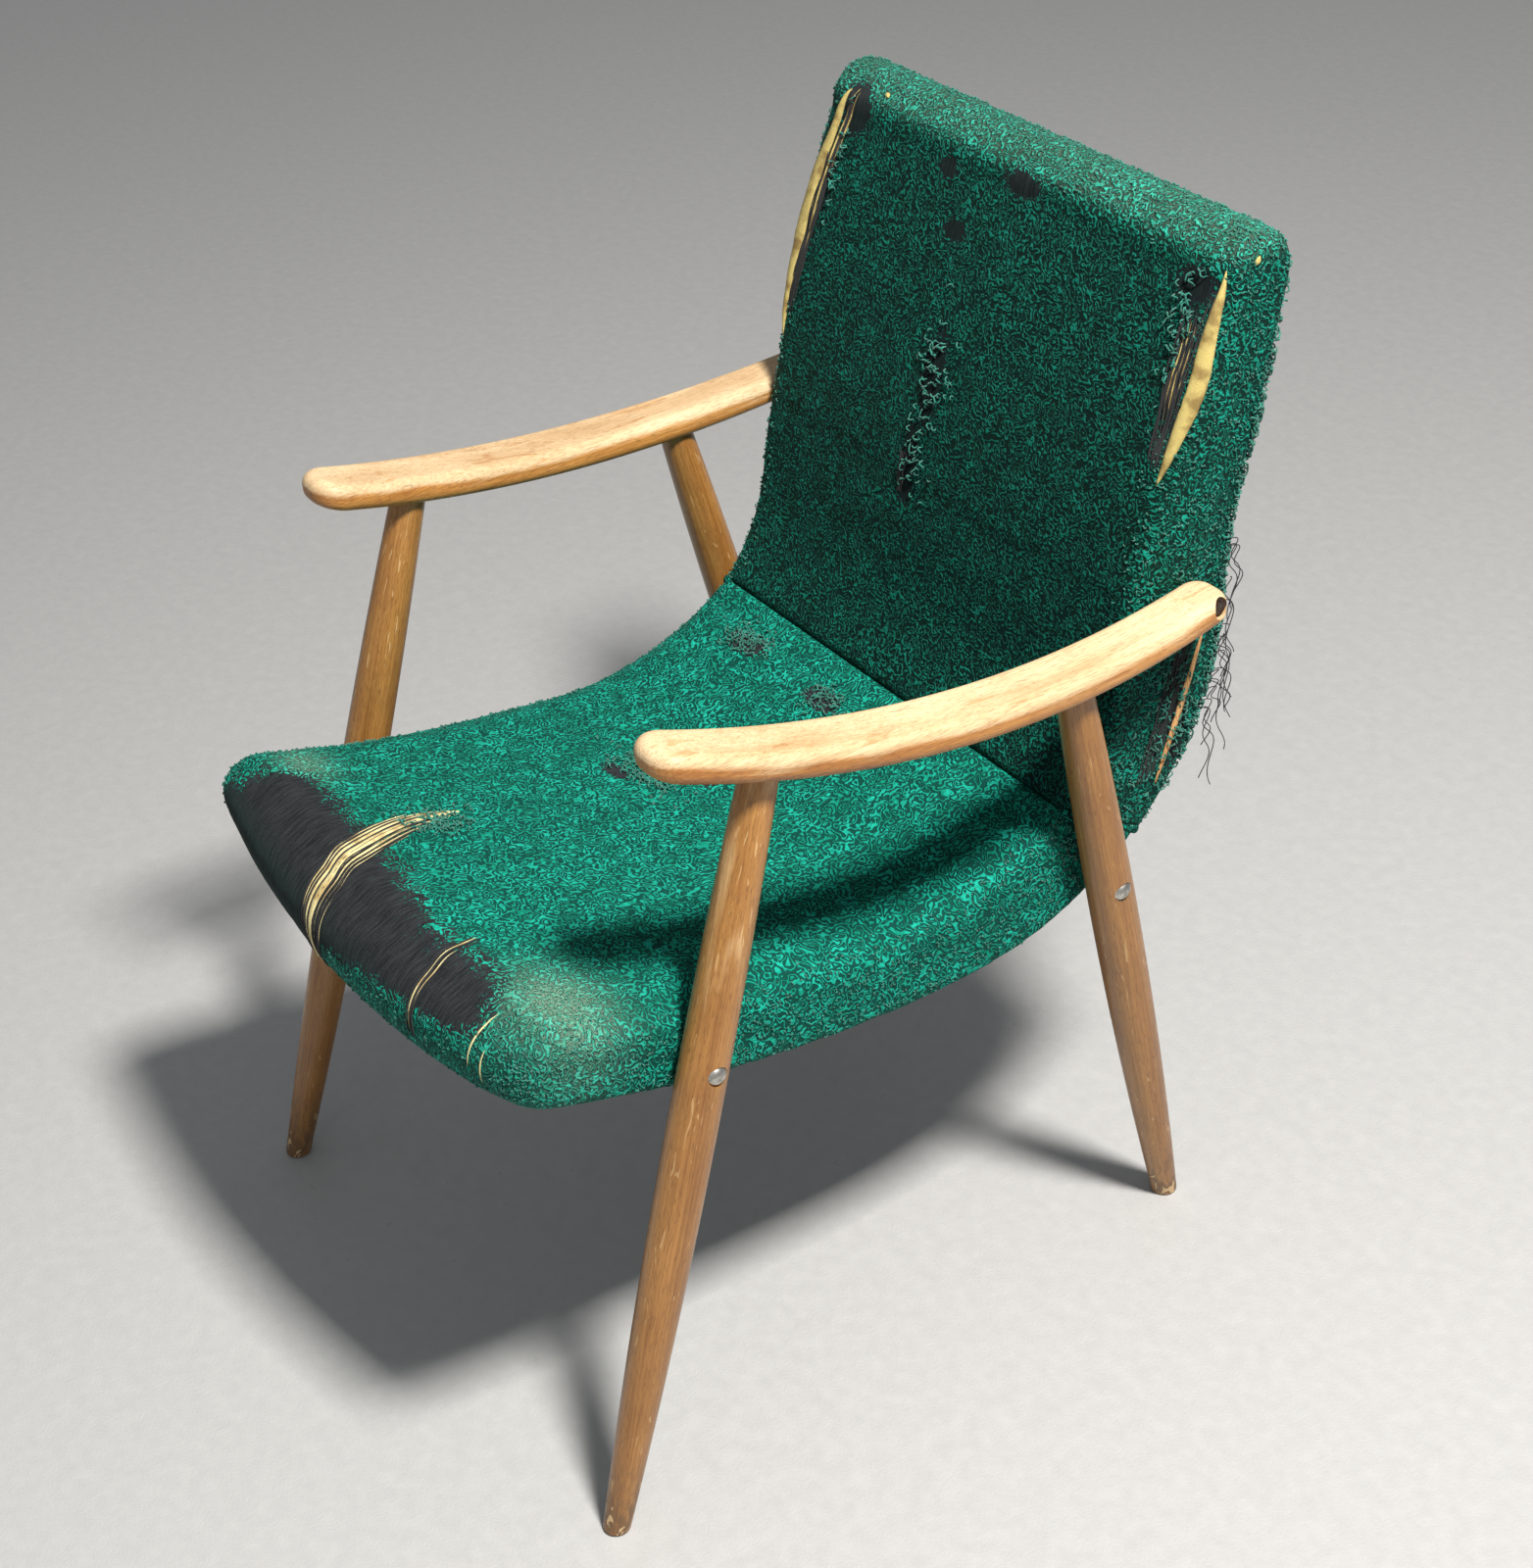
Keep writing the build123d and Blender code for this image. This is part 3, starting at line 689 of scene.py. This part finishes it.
# The low parts between the loops take the painted shade colour.
gap = blend(boucle, given["Flat"], GAP_PAINTED_SHADE, GAP_PAINTED_SHADE_FLAT)
yarn = blend(boucle, spread(boucle, ridge, 0.05, 0.75), gap, yarn)
fray = streaks(boucle, given["Place"], (900, 900, 900), 3)
pale = calc(boucle, "MULTIPLY", given["Bleached"], spread(boucle, fray, 0.35, 0.62, 0, 0.7))
yarn = blend(boucle, pale, yarn, BLEACHED)
cords = streaks(boucle, given["Place"], (1100, 60, 60), 3)
weave = noise(boucle, given["Place"], 1500, 2)
backing = blend(boucle, spread(boucle, cords, 0.3, 0.7), CHARCOAL_DARK, CHARCOAL)
backing = blend(boucle, spread(boucle, weave, 0.55, 0.75, 0, 0.35), backing, LINT)
boucle.links.new(blend(boucle, left, backing, yarn), made["Color"])
relief = calc(boucle, "MULTIPLY_ADD", cords, 0.22, calc(boucle, "MULTIPLY", left, ridge))
boucle.links.new(relief, made["Height"])
boucle.links.new(calc(boucle, "SUBTRACT", 0.95, calc(boucle, "MULTIPLY", left, 0.2)),
                 made["Roughness"])


def boucle_material(name, flat):
    """The boucle with its loops pressed flat by a share from 0 to 1. The piece's own masks say
    where it is worn, where it is paler (sun bleaching, and a painted highlight on the back's
    top edge), and how much painted shade darkens it."""
    material, tree, shader, place = new_material(name, Sheen_Weight=0.06, Sheen_Roughness=0.45)
    shader.inputs["Sheen Tint"].default_value = rgb(96, 214, 184)
    shader.inputs["Specular IOR Level"].default_value = 0.12
    worn, bleached, painted_shade = (put(tree, "Attribute", attribute_name=mask).outputs["Fac"]
                              for mask in ("worn", "bleached", "painted_shade"))
    cloth = use_group(tree, boucle, {"Place": place, "Worn": worn, "Bleached": bleached,
                                     "Flat": flat})
    # Painted shade is multiplied into the colour where the mask says.
    shown = blend(tree, painted_shade, cloth["Color"], PAINTED_SHADE_TINT, "MULTIPLY")
    finish_with(tree, shader, shown, cloth["Roughness"], cloth["Height"], 0.0016)
    return material


def blot(places, centre, reach):
    """A soft round spot: 1 in its middle and fading to 0 at its reach in each direction."""
    away = (places - np.array(centre)) / np.array(reach)
    return np.exp(-2.2 * (away ** 2).sum(1))


def strongest(places, blots):
    """The strongest of several spots at each place, each with its centre, reach and depth."""
    return np.max([depth * blot(places, centre, reach) for centre, reach, depth in blots], 0)


def outline_position(places, side_loop, middle_loop):
    """Nearest point of the bowed outline to each place, as a distance along that outline."""
    at = lengths_along(side_loop)
    bow = 1 - np.clip(places[:, 0] / HALF_WIDTH, -1, 1) ** 2
    found = np.empty(len(places))
    for part in np.array_split(np.arange(len(places)), len(places) // 4000 + 1):
        loop = side_loop + bow[part, None, None] * (middle_loop - side_loop)
        gap = ((places[part, None, 1:] - loop) ** 2).sum(2)
        found[part] = at[gap.argmin(1)]
    return found


seat_at = lengths_along(seat_side)
NOSE_TIP = 142
nose_at = seat_at[NOSE_TIP]
places = spots(seat_pad.data)
ahead = nose_at - outline_position(places, seat_side, seat_middle)
x = places[:, 0]
upper = np.interp(x, (-0.215, -0.2, -0.18, -0.163, -0.112, -0.02, 0.071, 0.132, 0.188),
                  (0.006, 0.014, 0.033, 0.055, 0.061, 0.058, 0.041, 0.046, 0.028))
lower = np.interp(x, (-0.215, -0.1, -0.03, 0.0, 0.05, 0.12, 0.2),
                  (-0.02, -0.04, -0.012, -0.002, 0.002, 0.006, 0.01))
seat_worn = (1 - ease(ahead, upper - 0.026, upper + 0.032)) * ease(ahead, lower - 0.01, lower + 0.01)
seat_worn *= 1 - ease(x, 0.145, 0.2)
seat_worn *= ease(x, -0.221, -0.205)
REAR_SPOTS = (((-0.137, 0.117, 0.403), (0.03, 0.016, 0.02), 1.8),
              ((-0.029, 0.112, 0.403), (0.026, 0.013, 0.02), 1.8))
seat_worn = np.maximum(seat_worn, strongest(places, REAR_SPOTS + (
    ((-0.072, -0.055, 0.384), (0.02, 0.011, 0.02), 1.8),
    ((-0.028, -0.006, 0.38), (0.022, 0.009, 0.02), 1.8))))
set_mask(seat_pad, "worn", seat_worn)
set_mask(seat_pad, "bleached", strongest(places, (
    ((0.185, -0.262, 0.41), (0.06, 0.05, 0.05), 1.0),
    ((-0.18, -0.262, 0.42), (0.04, 0.03, 0.03), 0.6))))
seat_pad.data.materials.append(boucle_material("seat_boucle", 0.55))

places = spots(back_pad.data)
back_worn = strongest(places, (
        ((-0.21, 0.258, 0.735), (0.024, 0.06, 0.11), 1.3),
        ((-0.187, 0.276, 0.8), (0.026, 0.03, 0.03), 1.6),
        ((0.2, 0.274, 0.79), (0.028, 0.03, 0.022), 1.35),
        ((0.209, 0.25, 0.725), (0.012, 0.03, 0.08), 1.1),
        ((-0.027, 0.222, 0.65), (0.017, 0.03, 0.06), 1.5),
        ((-0.036, 0.204, 0.582), (0.013, 0.03, 0.044), 1.9),
        ((0.014, 0.275, 0.801), (0.03, 0.02, 0.014), 1.5),
        ((-0.069, 0.273, 0.791), (0.016, 0.02, 0.012), 1.4),
        ((-0.044, 0.258, 0.754), (0.02, 0.02, 0.012), 1.3),
        ((0.223, 0.25, 0.47), (0.012, 0.018, 0.08), 1.1)))
set_mask(back_pad, "worn", back_worn)
# The back's top edge is painted paler: a painted highlight where the light falls on it.
set_mask(back_pad, "bleached", 0.2 * ease(places[:, 2], 0.8, 0.822))
# Painted shade on the back: darker below the top edge, less so at the sides, as the light grazes its
# front.
back_painted_shade = 0.8 * (1 - ease(places[:, 2], 0.785, 0.822))
back_painted_shade *= 1 - 0.5 * ease(np.abs(places[:, 0]), 0.208, 0.226)
set_mask(back_pad, "painted_shade", back_painted_shade)
back_pad.data.materials.append(boucle_material("back_boucle", 0.0))

for piece, slot_name, covered in (
        (seat_pad, "boucle", ("seat_cover", "seat_foam")),
        (back_pad, "boucle", ("back_cover", "outer_back", "back_foam", "side_band_left",
                              "side_band_right"))):
    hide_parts(*covered)
    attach(piece, "root")

# ------------------------------------------------------------ tears in the cover
# Over the nose and along the front edges of the back the backing has split lengthwise. Yellow
# foam swells out between the black warp threads that are still whole. A sewn seam closes the
# crease at both sides, and in the side tear the rail's bare edge shows.


def unit(vectors):
    """Vectors scaled to a length of one."""
    return vectors / np.maximum(np.linalg.norm(vectors, axis=-1, keepdims=True), 1e-12)


def strands(name, lines, facing, widths, heights, sides):
    """Closed oval bars along lines: rings of a half width across the line and a half height
    towards the facing direction, at even angles."""
    count, steps = lines.shape[:2]
    ahead = unit(np.gradient(lines, axis=1))
    across = unit(np.cross(ahead, facing))
    out = np.cross(across, ahead)
    angle = np.arange(sides) * 2 * pi / sides
    ring = (np.cos(angle)[:, None] * (across * widths[..., None])[:, :, None]
            + np.sin(angle)[:, None] * (out * heights[..., None])[:, :, None])
    points = lines[:, :, None] + ring
    first = np.arange(count)[:, None, None] * steps * sides
    step = np.arange(steps - 1)[None, :, None] * sides
    side = np.arange(sides)[None, None, :]
    after = (side + 1) % sides
    quads = np.stack((first + step + side, first + step + after,
                      first + step + sides + after, first + step + sides + side), -1)
    starts = np.arange(count)[:, None] * steps * sides + np.arange(sides)
    ends = np.concatenate((starts, starts + (steps - 1) * sides))
    return mesh_of(name, points, quads.reshape(-1, 4), ends.tolist())


def skin_tree(piece):
    """A search tree over a piece's faces."""
    return BVHTree.FromObject(piece, bpy.context.evaluated_depsgraph_get())


def on_cover(tree, places):
    """The nearest points of the cover to some places, and the directions it faces there."""
    found = [tree.find_nearest(Vector(place)) for place in places.reshape(-1, 3)]
    spot = np.array([hit[0] for hit in found]).reshape(places.shape)
    facing = np.array([hit[1] for hit in found]).reshape(places.shape)
    return spot, facing


def seat_spot(x, ahead):
    """Point of the seat at an x, a distance from the nose up over the top."""
    index = np.interp(nose_at - ahead, seat_at, np.arange(len(seat_at)))
    count = np.arange(len(seat_side))
    bow = 1 - (x / HALF_WIDTH) ** 2
    both = [[np.interp(index, count, loop[:, k]) for k in (0, 1)]
            for loop in (seat_side, seat_middle)]
    return np.stack((x, *(a + bow * (b - a) for a, b in zip(*both))), -1)


def swelling(steps, sharpness=0.7):
    """From 0 at one end to 1 in the middle and 0 at the other end."""
    return np.sin(np.linspace(0.02, pi - 0.02, steps)) ** sharpness


seat_tree = skin_tree(seat_pad)
back_tree = skin_tree(back_pad)
dice = np.random.default_rng(7)

STEPS = 44
run = np.linspace(0, 1, STEPS)


def seat_split(shares, left, right, ends):
    """Lines over the nose, each at a share of the way from a split's left edge to its right."""
    lines = []
    for share, (low, high) in zip(shares, ends):
        ahead = low + (high - low) * run
        edge_left = np.polyval(np.polyfit(*left, 4), ahead)
        edge_right = np.polyval(np.polyfit(*right, 4), ahead)
        lines.append(seat_spot(edge_left + share * (edge_right - edge_left), ahead))
    return np.array(lines)


NOSE_SPLIT_LEFT = ((-0.026, -0.008, 0.012, 0.026, 0.04, 0.07, 0.095, 0.117, 0.138),
                   (-0.034, -0.041, -0.047, -0.053, -0.061, -0.075, -0.079, -0.078, -0.073))
NOSE_SPLIT_RIGHT = ((-0.026, -0.008, 0.01, 0.028, 0.052, 0.07, 0.092, 0.115, 0.138),
                    (-0.022, -0.016, -0.019, -0.026, -0.037, -0.045, -0.054, -0.06, -0.063))
STRIPS = ((-0.03, 0.0008, (0.004, 0.098)), (0.1, 0.0012, (-0.014, 0.118)),
          (0.23, 0.0015, (-0.02, 0.13)), (0.48, 0.0044, (-0.022, 0.136)),
          (0.74, 0.0014, (-0.02, 0.132)), (0.88, 0.0011, (-0.012, 0.116)),
          (1.00, 0.0008, (-0.004, 0.086)))
foam_lines = seat_split([s[0] for s in STRIPS], NOSE_SPLIT_LEFT, NOSE_SPLIT_RIGHT,
                        [s[2] for s in STRIPS])
foam_widths = np.array([s[1] * swelling(STEPS, 0.45) for s in STRIPS])
second = ((0.106, 0.0009, (-0.006, 0.06)), (0.11, 0.0007, (-0.002, 0.04)),
          (0.172, 0.0008, (-0.004, 0.03)), (0.185, 0.0007, (-0.01, 0.01)))
thin_lines = np.array([seat_spot(x0 - 0.25 * (low + (high - low) * run) * (x0 < 0.15),
                                 low + (high - low) * run) for x0, _, (low, high) in second])
thin_widths = np.array([s[1] * swelling(STEPS) for s in second])
seat_foam_lines, facing = on_cover(seat_tree, np.concatenate((foam_lines, thin_lines)))
seat_widths = np.concatenate((foam_widths, thin_widths))
seat_tear = strands("seat_tear_foam", seat_foam_lines, facing, seat_widths,
                    np.minimum(0.8 * seat_widths, 0.0014), 10)


def back_split(points, width):
    """A line on the back through a few points, and its half widths."""
    return smooth_line(points, STEPS), width * swelling(STEPS, 0.8)


BACK_STRIPS = (
    (((-0.199, 0.276, 0.818), (-0.2125, 0.262, 0.775), (-0.218, 0.248, 0.735),
      (-0.219, 0.232, 0.685), (-0.2155, 0.21, 0.622)), 0.0078),
    (((-0.192, 0.282, 0.815), (-0.2015, 0.262, 0.77), (-0.2045, 0.247, 0.722),
      (-0.205, 0.231, 0.675)), 0.0018),
    (((-0.189, 0.281, 0.812), (-0.1965, 0.262, 0.77), (-0.1995, 0.247, 0.725)), 0.001),
    (((0.204, 0.262, 0.768), (0.206, 0.25, 0.725), (0.2085, 0.236, 0.69)), 0.0006),
    (((0.207, 0.262, 0.768), (0.209, 0.25, 0.725), (0.211, 0.236, 0.69)), 0.0008),
    (((0.2105, 0.264, 0.765), (0.2125, 0.25, 0.722), (0.2135, 0.234, 0.682)), 0.0006),
    (((0.2205, 0.28, 0.804), (0.2235, 0.265, 0.768), (0.224, 0.255, 0.728),
      (0.2225, 0.24, 0.694), (0.2185, 0.225, 0.66)), 0.0066),
    (((0.227, 0.3, 0.812), (0.2265, 0.296, 0.806)), 0.002),
    (((-0.163, 0.285, 0.82), (-0.158, 0.283, 0.817)), 0.002))
built = [back_split(*strip) for strip in BACK_STRIPS]
back_lines, facing = on_cover(back_tree, np.array([line for line, _ in built]))
back_widths = np.array([width for _, width in built])
back_tear = strands("back_tear_foam", back_lines, facing, back_widths,
                    np.minimum(back_widths, 0.0032), 12)
side_line = smooth_line(((0.2235, 0.272, 0.53), (0.2235, 0.254, 0.472), (0.2235, 0.232, 0.412)),
                        STEPS)[None]
side_line, facing = on_cover(back_tree, side_line)
bare_edge = strands("bare_rail_edge", side_line, facing, 0.003 * swelling(STEPS, 0.5)[None],
                    0.0016 * swelling(STEPS, 0.5)[None], 8)

split = np.linspace(CREASE, under(SPLIT_LENGTH, SPLIT_LENGTH, 0.002, 1)[0], STEPS)
seams = np.array([np.stack((np.full(STEPS, side * (HALF_WIDTH - 0.0045)), *split.T), 1)
                  for side in (-1, 1)])
facing = np.broadcast_to(np.array(((-1.0, 0, 0), (1.0, 0, 0)))[:, None], seams.shape)
crease_seam = strands("crease_seam", seams, facing, np.full((2, STEPS), 0.0042),
                      np.full((2, STEPS), 0.0036), 12)


def foam_material(name, pale, stained):
    """Crumbling foam with stains."""
    material, tree, shader, place = new_material(name, Subsurface_Weight=0.05)
    crumb = noise(tree, place, 1900, 3)
    stain = spread(tree, noise(tree, place, 70, 4), 0.42, 0.66)
    colour = blend(tree, stain, pale, stained)
    colour = blend(tree, spread(tree, crumb, 0.6, 0.75, 0, 0.5), colour, rgb(140, 112, 60))
    finish_with(tree, shader, colour, spread(tree, crumb, 0, 1, 0.85, 1.0), crumb, 0.0006)
    return material


seat_foam_finish = foam_material("seat_foam_in_tear", rgb(222, 206, 150), rgb(178, 152, 98))
# The back's foam is the same foam painted darker: painted shade, as the back's front lies in shade.
back_foam_painted_shade_finish = foam_material("back_foam_in_tears_painted_shade", rgb(192, 172, 104), rgb(136, 112, 62))
bare_wood = bare_beech_material("bare_rail_wood", rgb(214, 166, 112), rgb(168, 116, 66), 0)
for piece, finish, slot_name in ((seat_tear, seat_foam_finish, "foam"),
                                 (back_tear, back_foam_painted_shade_finish, "foam"),
                                 (bare_edge, bare_wood, "frame_wood"),
                                 (crease_seam, boucle_material("side_boucle", 0.0),
                                  "side_boucle")):
    piece.data.materials.append(finish)
    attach(piece, "root")

# ------------------------------------------------------------ threads
# Black warp threads of the backing: stretched across the foam in the tears, lying loose beside
# them, and hanging from the rear edge on the sitter's left where the cover has come undone.


def lying_threads(tree, lines, radius, wave, lift):
    """Threads that lie on the cover or the foam along lines and wander to both sides."""
    spot, facing = on_cover(tree, lines)
    across = unit(np.cross(np.gradient(spot, axis=1), facing))
    phase = dice.uniform(0, 2 * pi, (len(lines), 1))
    turns = dice.uniform(1.0, 2.6, (len(lines), 1))
    sway = wave * np.sin(phase + turns * 2 * pi * run)
    rise = radius * 0.6 + lift * swelling(STEPS)
    line = spot + across * sway[..., None] + facing * rise[:, None]
    ends = np.minimum(1, 12 * np.minimum(run, 1 - run) + 0.15)
    return line, facing, radius * np.ones((len(lines), 1)) * ends


shares = (-0.05, 0.05, 0.06, 0.175, 0.185, 0.33, 0.345, 0.5, 0.62, 0.64, 0.8, 0.81, 0.93, 0.94,
          1.03)
ends = [(-0.024 + 0.001 * (k % 3), 0.088 + 0.048 * np.sin(pi * share)) for k, share in
        enumerate(shares)]
nose_threads = seat_split(shares, NOSE_SPLIT_LEFT, NOSE_SPLIT_RIGHT, ends)
beside = np.array([seat_spot(x0 - 0.25 * (-0.01 + 0.07 * run), -0.01 + 0.07 * run)
                   for x0 in (0.1045, 0.1078, 0.1085, 0.1115)])
seat_threads = lying_threads(seat_tree, np.concatenate((nose_threads, beside)), 0.0005, 0.0006,
                             0.0007)


def between(top, bottom, count, spread_top, spread_bottom):
    """Threads side by side from near one point to near another, bent to the back's front."""
    top, bottom = np.array(top), np.array(bottom)
    shift = np.linspace(-0.5, 0.5, count)[:, None, None]
    line = top + (bottom - top) * run[None, :, None]
    fan = (spread_top + (spread_bottom - spread_top) * run)[None, :, None]
    return line + shift * fan * np.array((1, 0.2, 0))


back_bundles = np.concatenate((
    between((-0.194, 0.28, 0.812), (-0.211, 0.222, 0.64), 9, 0.004, 0.01),
    between((-0.204, 0.262, 0.77), (-0.208, 0.232, 0.672), 6, 0.016, 0.01),
    between((0.204, 0.266, 0.775), (0.211, 0.229, 0.672), 9, 0.014, 0.008),
    between((0.217, 0.272, 0.79), (0.214, 0.226, 0.668), 4, 0.004, 0.006),
    between((-0.04, 0.206, 0.59), (-0.043, 0.197, 0.556), 5, 0.01, 0.004)))
side_bundle = between((0.2235, 0.262, 0.528), (0.2235, 0.226, 0.418), 9, 0.0, 0.0)
side_bundle = side_bundle + np.linspace(-0.014, 0.0015, 9)[:, None, None] * np.array((0, 1, 0.1))
back_threads = lying_threads(back_tree, np.concatenate((back_bundles, side_bundle)), 0.00045,
                             0.0007, 0.0006)


def rear_edge(height):
    """Point of the shell's rear edge on the sitter's left, at a height."""
    y = rear_y(height)
    return np.stack((np.full_like(y, HALF_WIDTH - 0.0005), y - 0.003, height), -1)


count = 17
height = dice.uniform(0.43, 0.6, count)
start = rear_edge(height)
drop = dice.uniform(0.02, 0.075, count)[:, None]
swing = dice.uniform(-0.004, 0.012, count)[:, None]
curl = dice.uniform(0, 2 * pi, (count, 1))
y = start[:, 1:2] + 0.007 * np.sin(pi * run * 0.6) + swing * run + 0.005 * np.sin(curl + 11 * run)
z = start[:, 2:3] + 0.006 * np.sin(pi * run) - drop * run ** 1.3
x = start[:, 0:1] + 0.004 * np.sin(curl + 6 * run) * run + 0.001
hanging = np.stack((x, y, z), -1)
hanging_facing = np.broadcast_to((1.0, 0.0, 0.02), hanging.shape)
hanging_widths = np.full((count, STEPS), 0.0004)

thread_finish, tree, shader, place = new_material("black_thread", Sheen_Weight=0.05)
twist = noise(tree, place, 2200, 2)
thread_colour = blend(tree, twist, rgb(8, 8, 10), rgb(42, 42, 44))
finish_with(tree, shader, thread_colour, spread(tree, twist, 0, 1, 0.7, 0.95), twist, 0.0003)
for name, (lines, facing, widths) in (
        ("seat_threads", seat_threads), ("back_threads", back_threads),
        ("hanging_threads", (hanging, hanging_facing, hanging_widths))):
    piece = strands(name, lines, facing, widths, widths, 6)
    piece.data.materials.append(thread_finish)
    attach(piece, "root")

# ------------------------------------------------------------ loops that stand proud
# Single loops of the boucle's yarn: short ones all along the edges of the shell, and longer
# pulled ones round the tears, in the pulled streak on the back and on the frayed rear edge.

LEAST_CHANCE = 1e-9


def loops(name, piece, weight, count, length, radius):
    """Little arches on the cover, more of them where the weight is high.

    A loop starts on the cover, rises by sin and runs to one side by a part turn."""
    spot = spots(piece.data)
    facing = directions(piece.data)
    chance = weight(spot, facing)
    picked = dice.choice(len(spot), count, replace=False, p=chance / chance.sum())
    start, up = spot[picked][:, None], facing[picked][:, None]
    aside = unit(np.cross(up, dice.normal(size=(count, 1, 3))))
    beside = np.cross(up, aside)
    size = length * dice.uniform(0.6, 1.4, (count, 1, 1))
    t = np.linspace(0, 1, 6)[None, :, None]
    bend = dice.uniform(-1.2, 1.2, (count, 1, 1))
    line = (start + up * size * (0.62 * np.sin(pi * t) - 0.08)
            + aside * size * 0.9 * (t - 0.5) + beside * size * bend * 0.5 * np.sin(2 * pi * t))
    lift = np.broadcast_to(up + 0.01 * beside, line.shape)
    widths = radius * np.ones((count, 6)) * np.array((0.5, 1, 1.1, 1.1, 1, 0.5))
    made = strands(name, line, unit(lift + 0.3 * beside), widths, widths, 4)
    made.data.materials.append(loop_finish)
    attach(made, "root")


loop_finish, tree, shader, place = new_material("loop_yarn", Sheen_Weight=0.25)
tint = spread(tree, noise(tree, place, 120, 3), 0.35, 0.65)
loop_colour = blend(tree, tint, LOOP_DEEP, LOOP_GREEN)
fibre = noise(tree, place, 2600, 2)
# Between the fibres of a loop the gap's dark colour is painted in: painted shade.
finish_with(tree, shader, blend(tree, spread(tree, fibre, 0.3, 0.7), GAP_PAINTED_SHADE, loop_colour),
            spread(tree, fibre, 0, 1, 0.8, 0.95), fibre, 0.0004)


def seat_edges(spot, facing):
    """The seat's side edges and nose, apart from where the loops are worn off."""
    edge = ease(np.abs(spot[:, 0]), 0.198, 0.214) + 0.5 * ease(-spot[:, 1], 0.29, 0.31)
    worn = np.clip(seat_worn * 1.6, 0, 1)
    return edge * (1 - worn) * (facing[:, 2] > -0.4) + LEAST_CHANCE


def back_edges(spot, facing):
    """The back's side edges and its top."""
    edge = ease(np.abs(spot[:, 0]), 0.198, 0.214) + 0.8 * ease(spot[:, 2], 0.8, 0.815)
    return edge * (1 - np.clip(back_worn * 1.4, 0, 1)) + LEAST_CHANCE


def pulled(spot, facing):
    """Round the tears and the pulled streak, and down the frayed rear edge."""
    chance = sum(blot(spot, centre, reach) for centre, reach in (
        ((-0.024, 0.224, 0.65), (0.018, 0.03, 0.052)),
        ((-0.03, 0.207, 0.59), (0.016, 0.03, 0.03)),
        ((-0.19, 0.26, 0.76), (0.008, 0.03, 0.06)),
        ((0.198, 0.27, 0.76), (0.012, 0.03, 0.05)),
        ((0.223, 0.245, 0.47), (0.01, 0.03, 0.075))))
    frayed = (spot[:, 0] > 0.212) * ease(spot[:, 2], 0.41, 0.45) * (1 - ease(spot[:, 2], 0.66, 0.8))
    return (chance + 2.5 * frayed * ease(spot[:, 1] - rear_y(spot[:, 2]), -0.012, -0.002)
            + LEAST_CHANCE)


def seat_pulled(spot, facing):
    """Round the seat's worn spots and the upper end of its tear."""
    return LEAST_CHANCE + sum(blot(spot, centre, reach) for centre, reach in (
        *[(centre, reach) for centre, reach, _ in REAR_SPOTS],
        ((-0.055, -0.04, 0.382), (0.045, 0.014, 0.02)),
        ((-0.06, -0.215, 0.412), (0.02, 0.03, 0.02)),
        ((0.223, 0.165, 0.39), (0.01, 0.02, 0.03))))


loops("seat_edge_loops", seat_pad, seat_edges, 2200, 0.0016, 0.0005)
loops("back_edge_loops", back_pad, back_edges, 2800, 0.0019, 0.0005)
loops("back_pulled_loops", back_pad, pulled, 900, 0.0052, 0.0006)
loops("seat_pulled_loops", seat_pad, seat_pulled, 500, 0.0042, 0.0006)
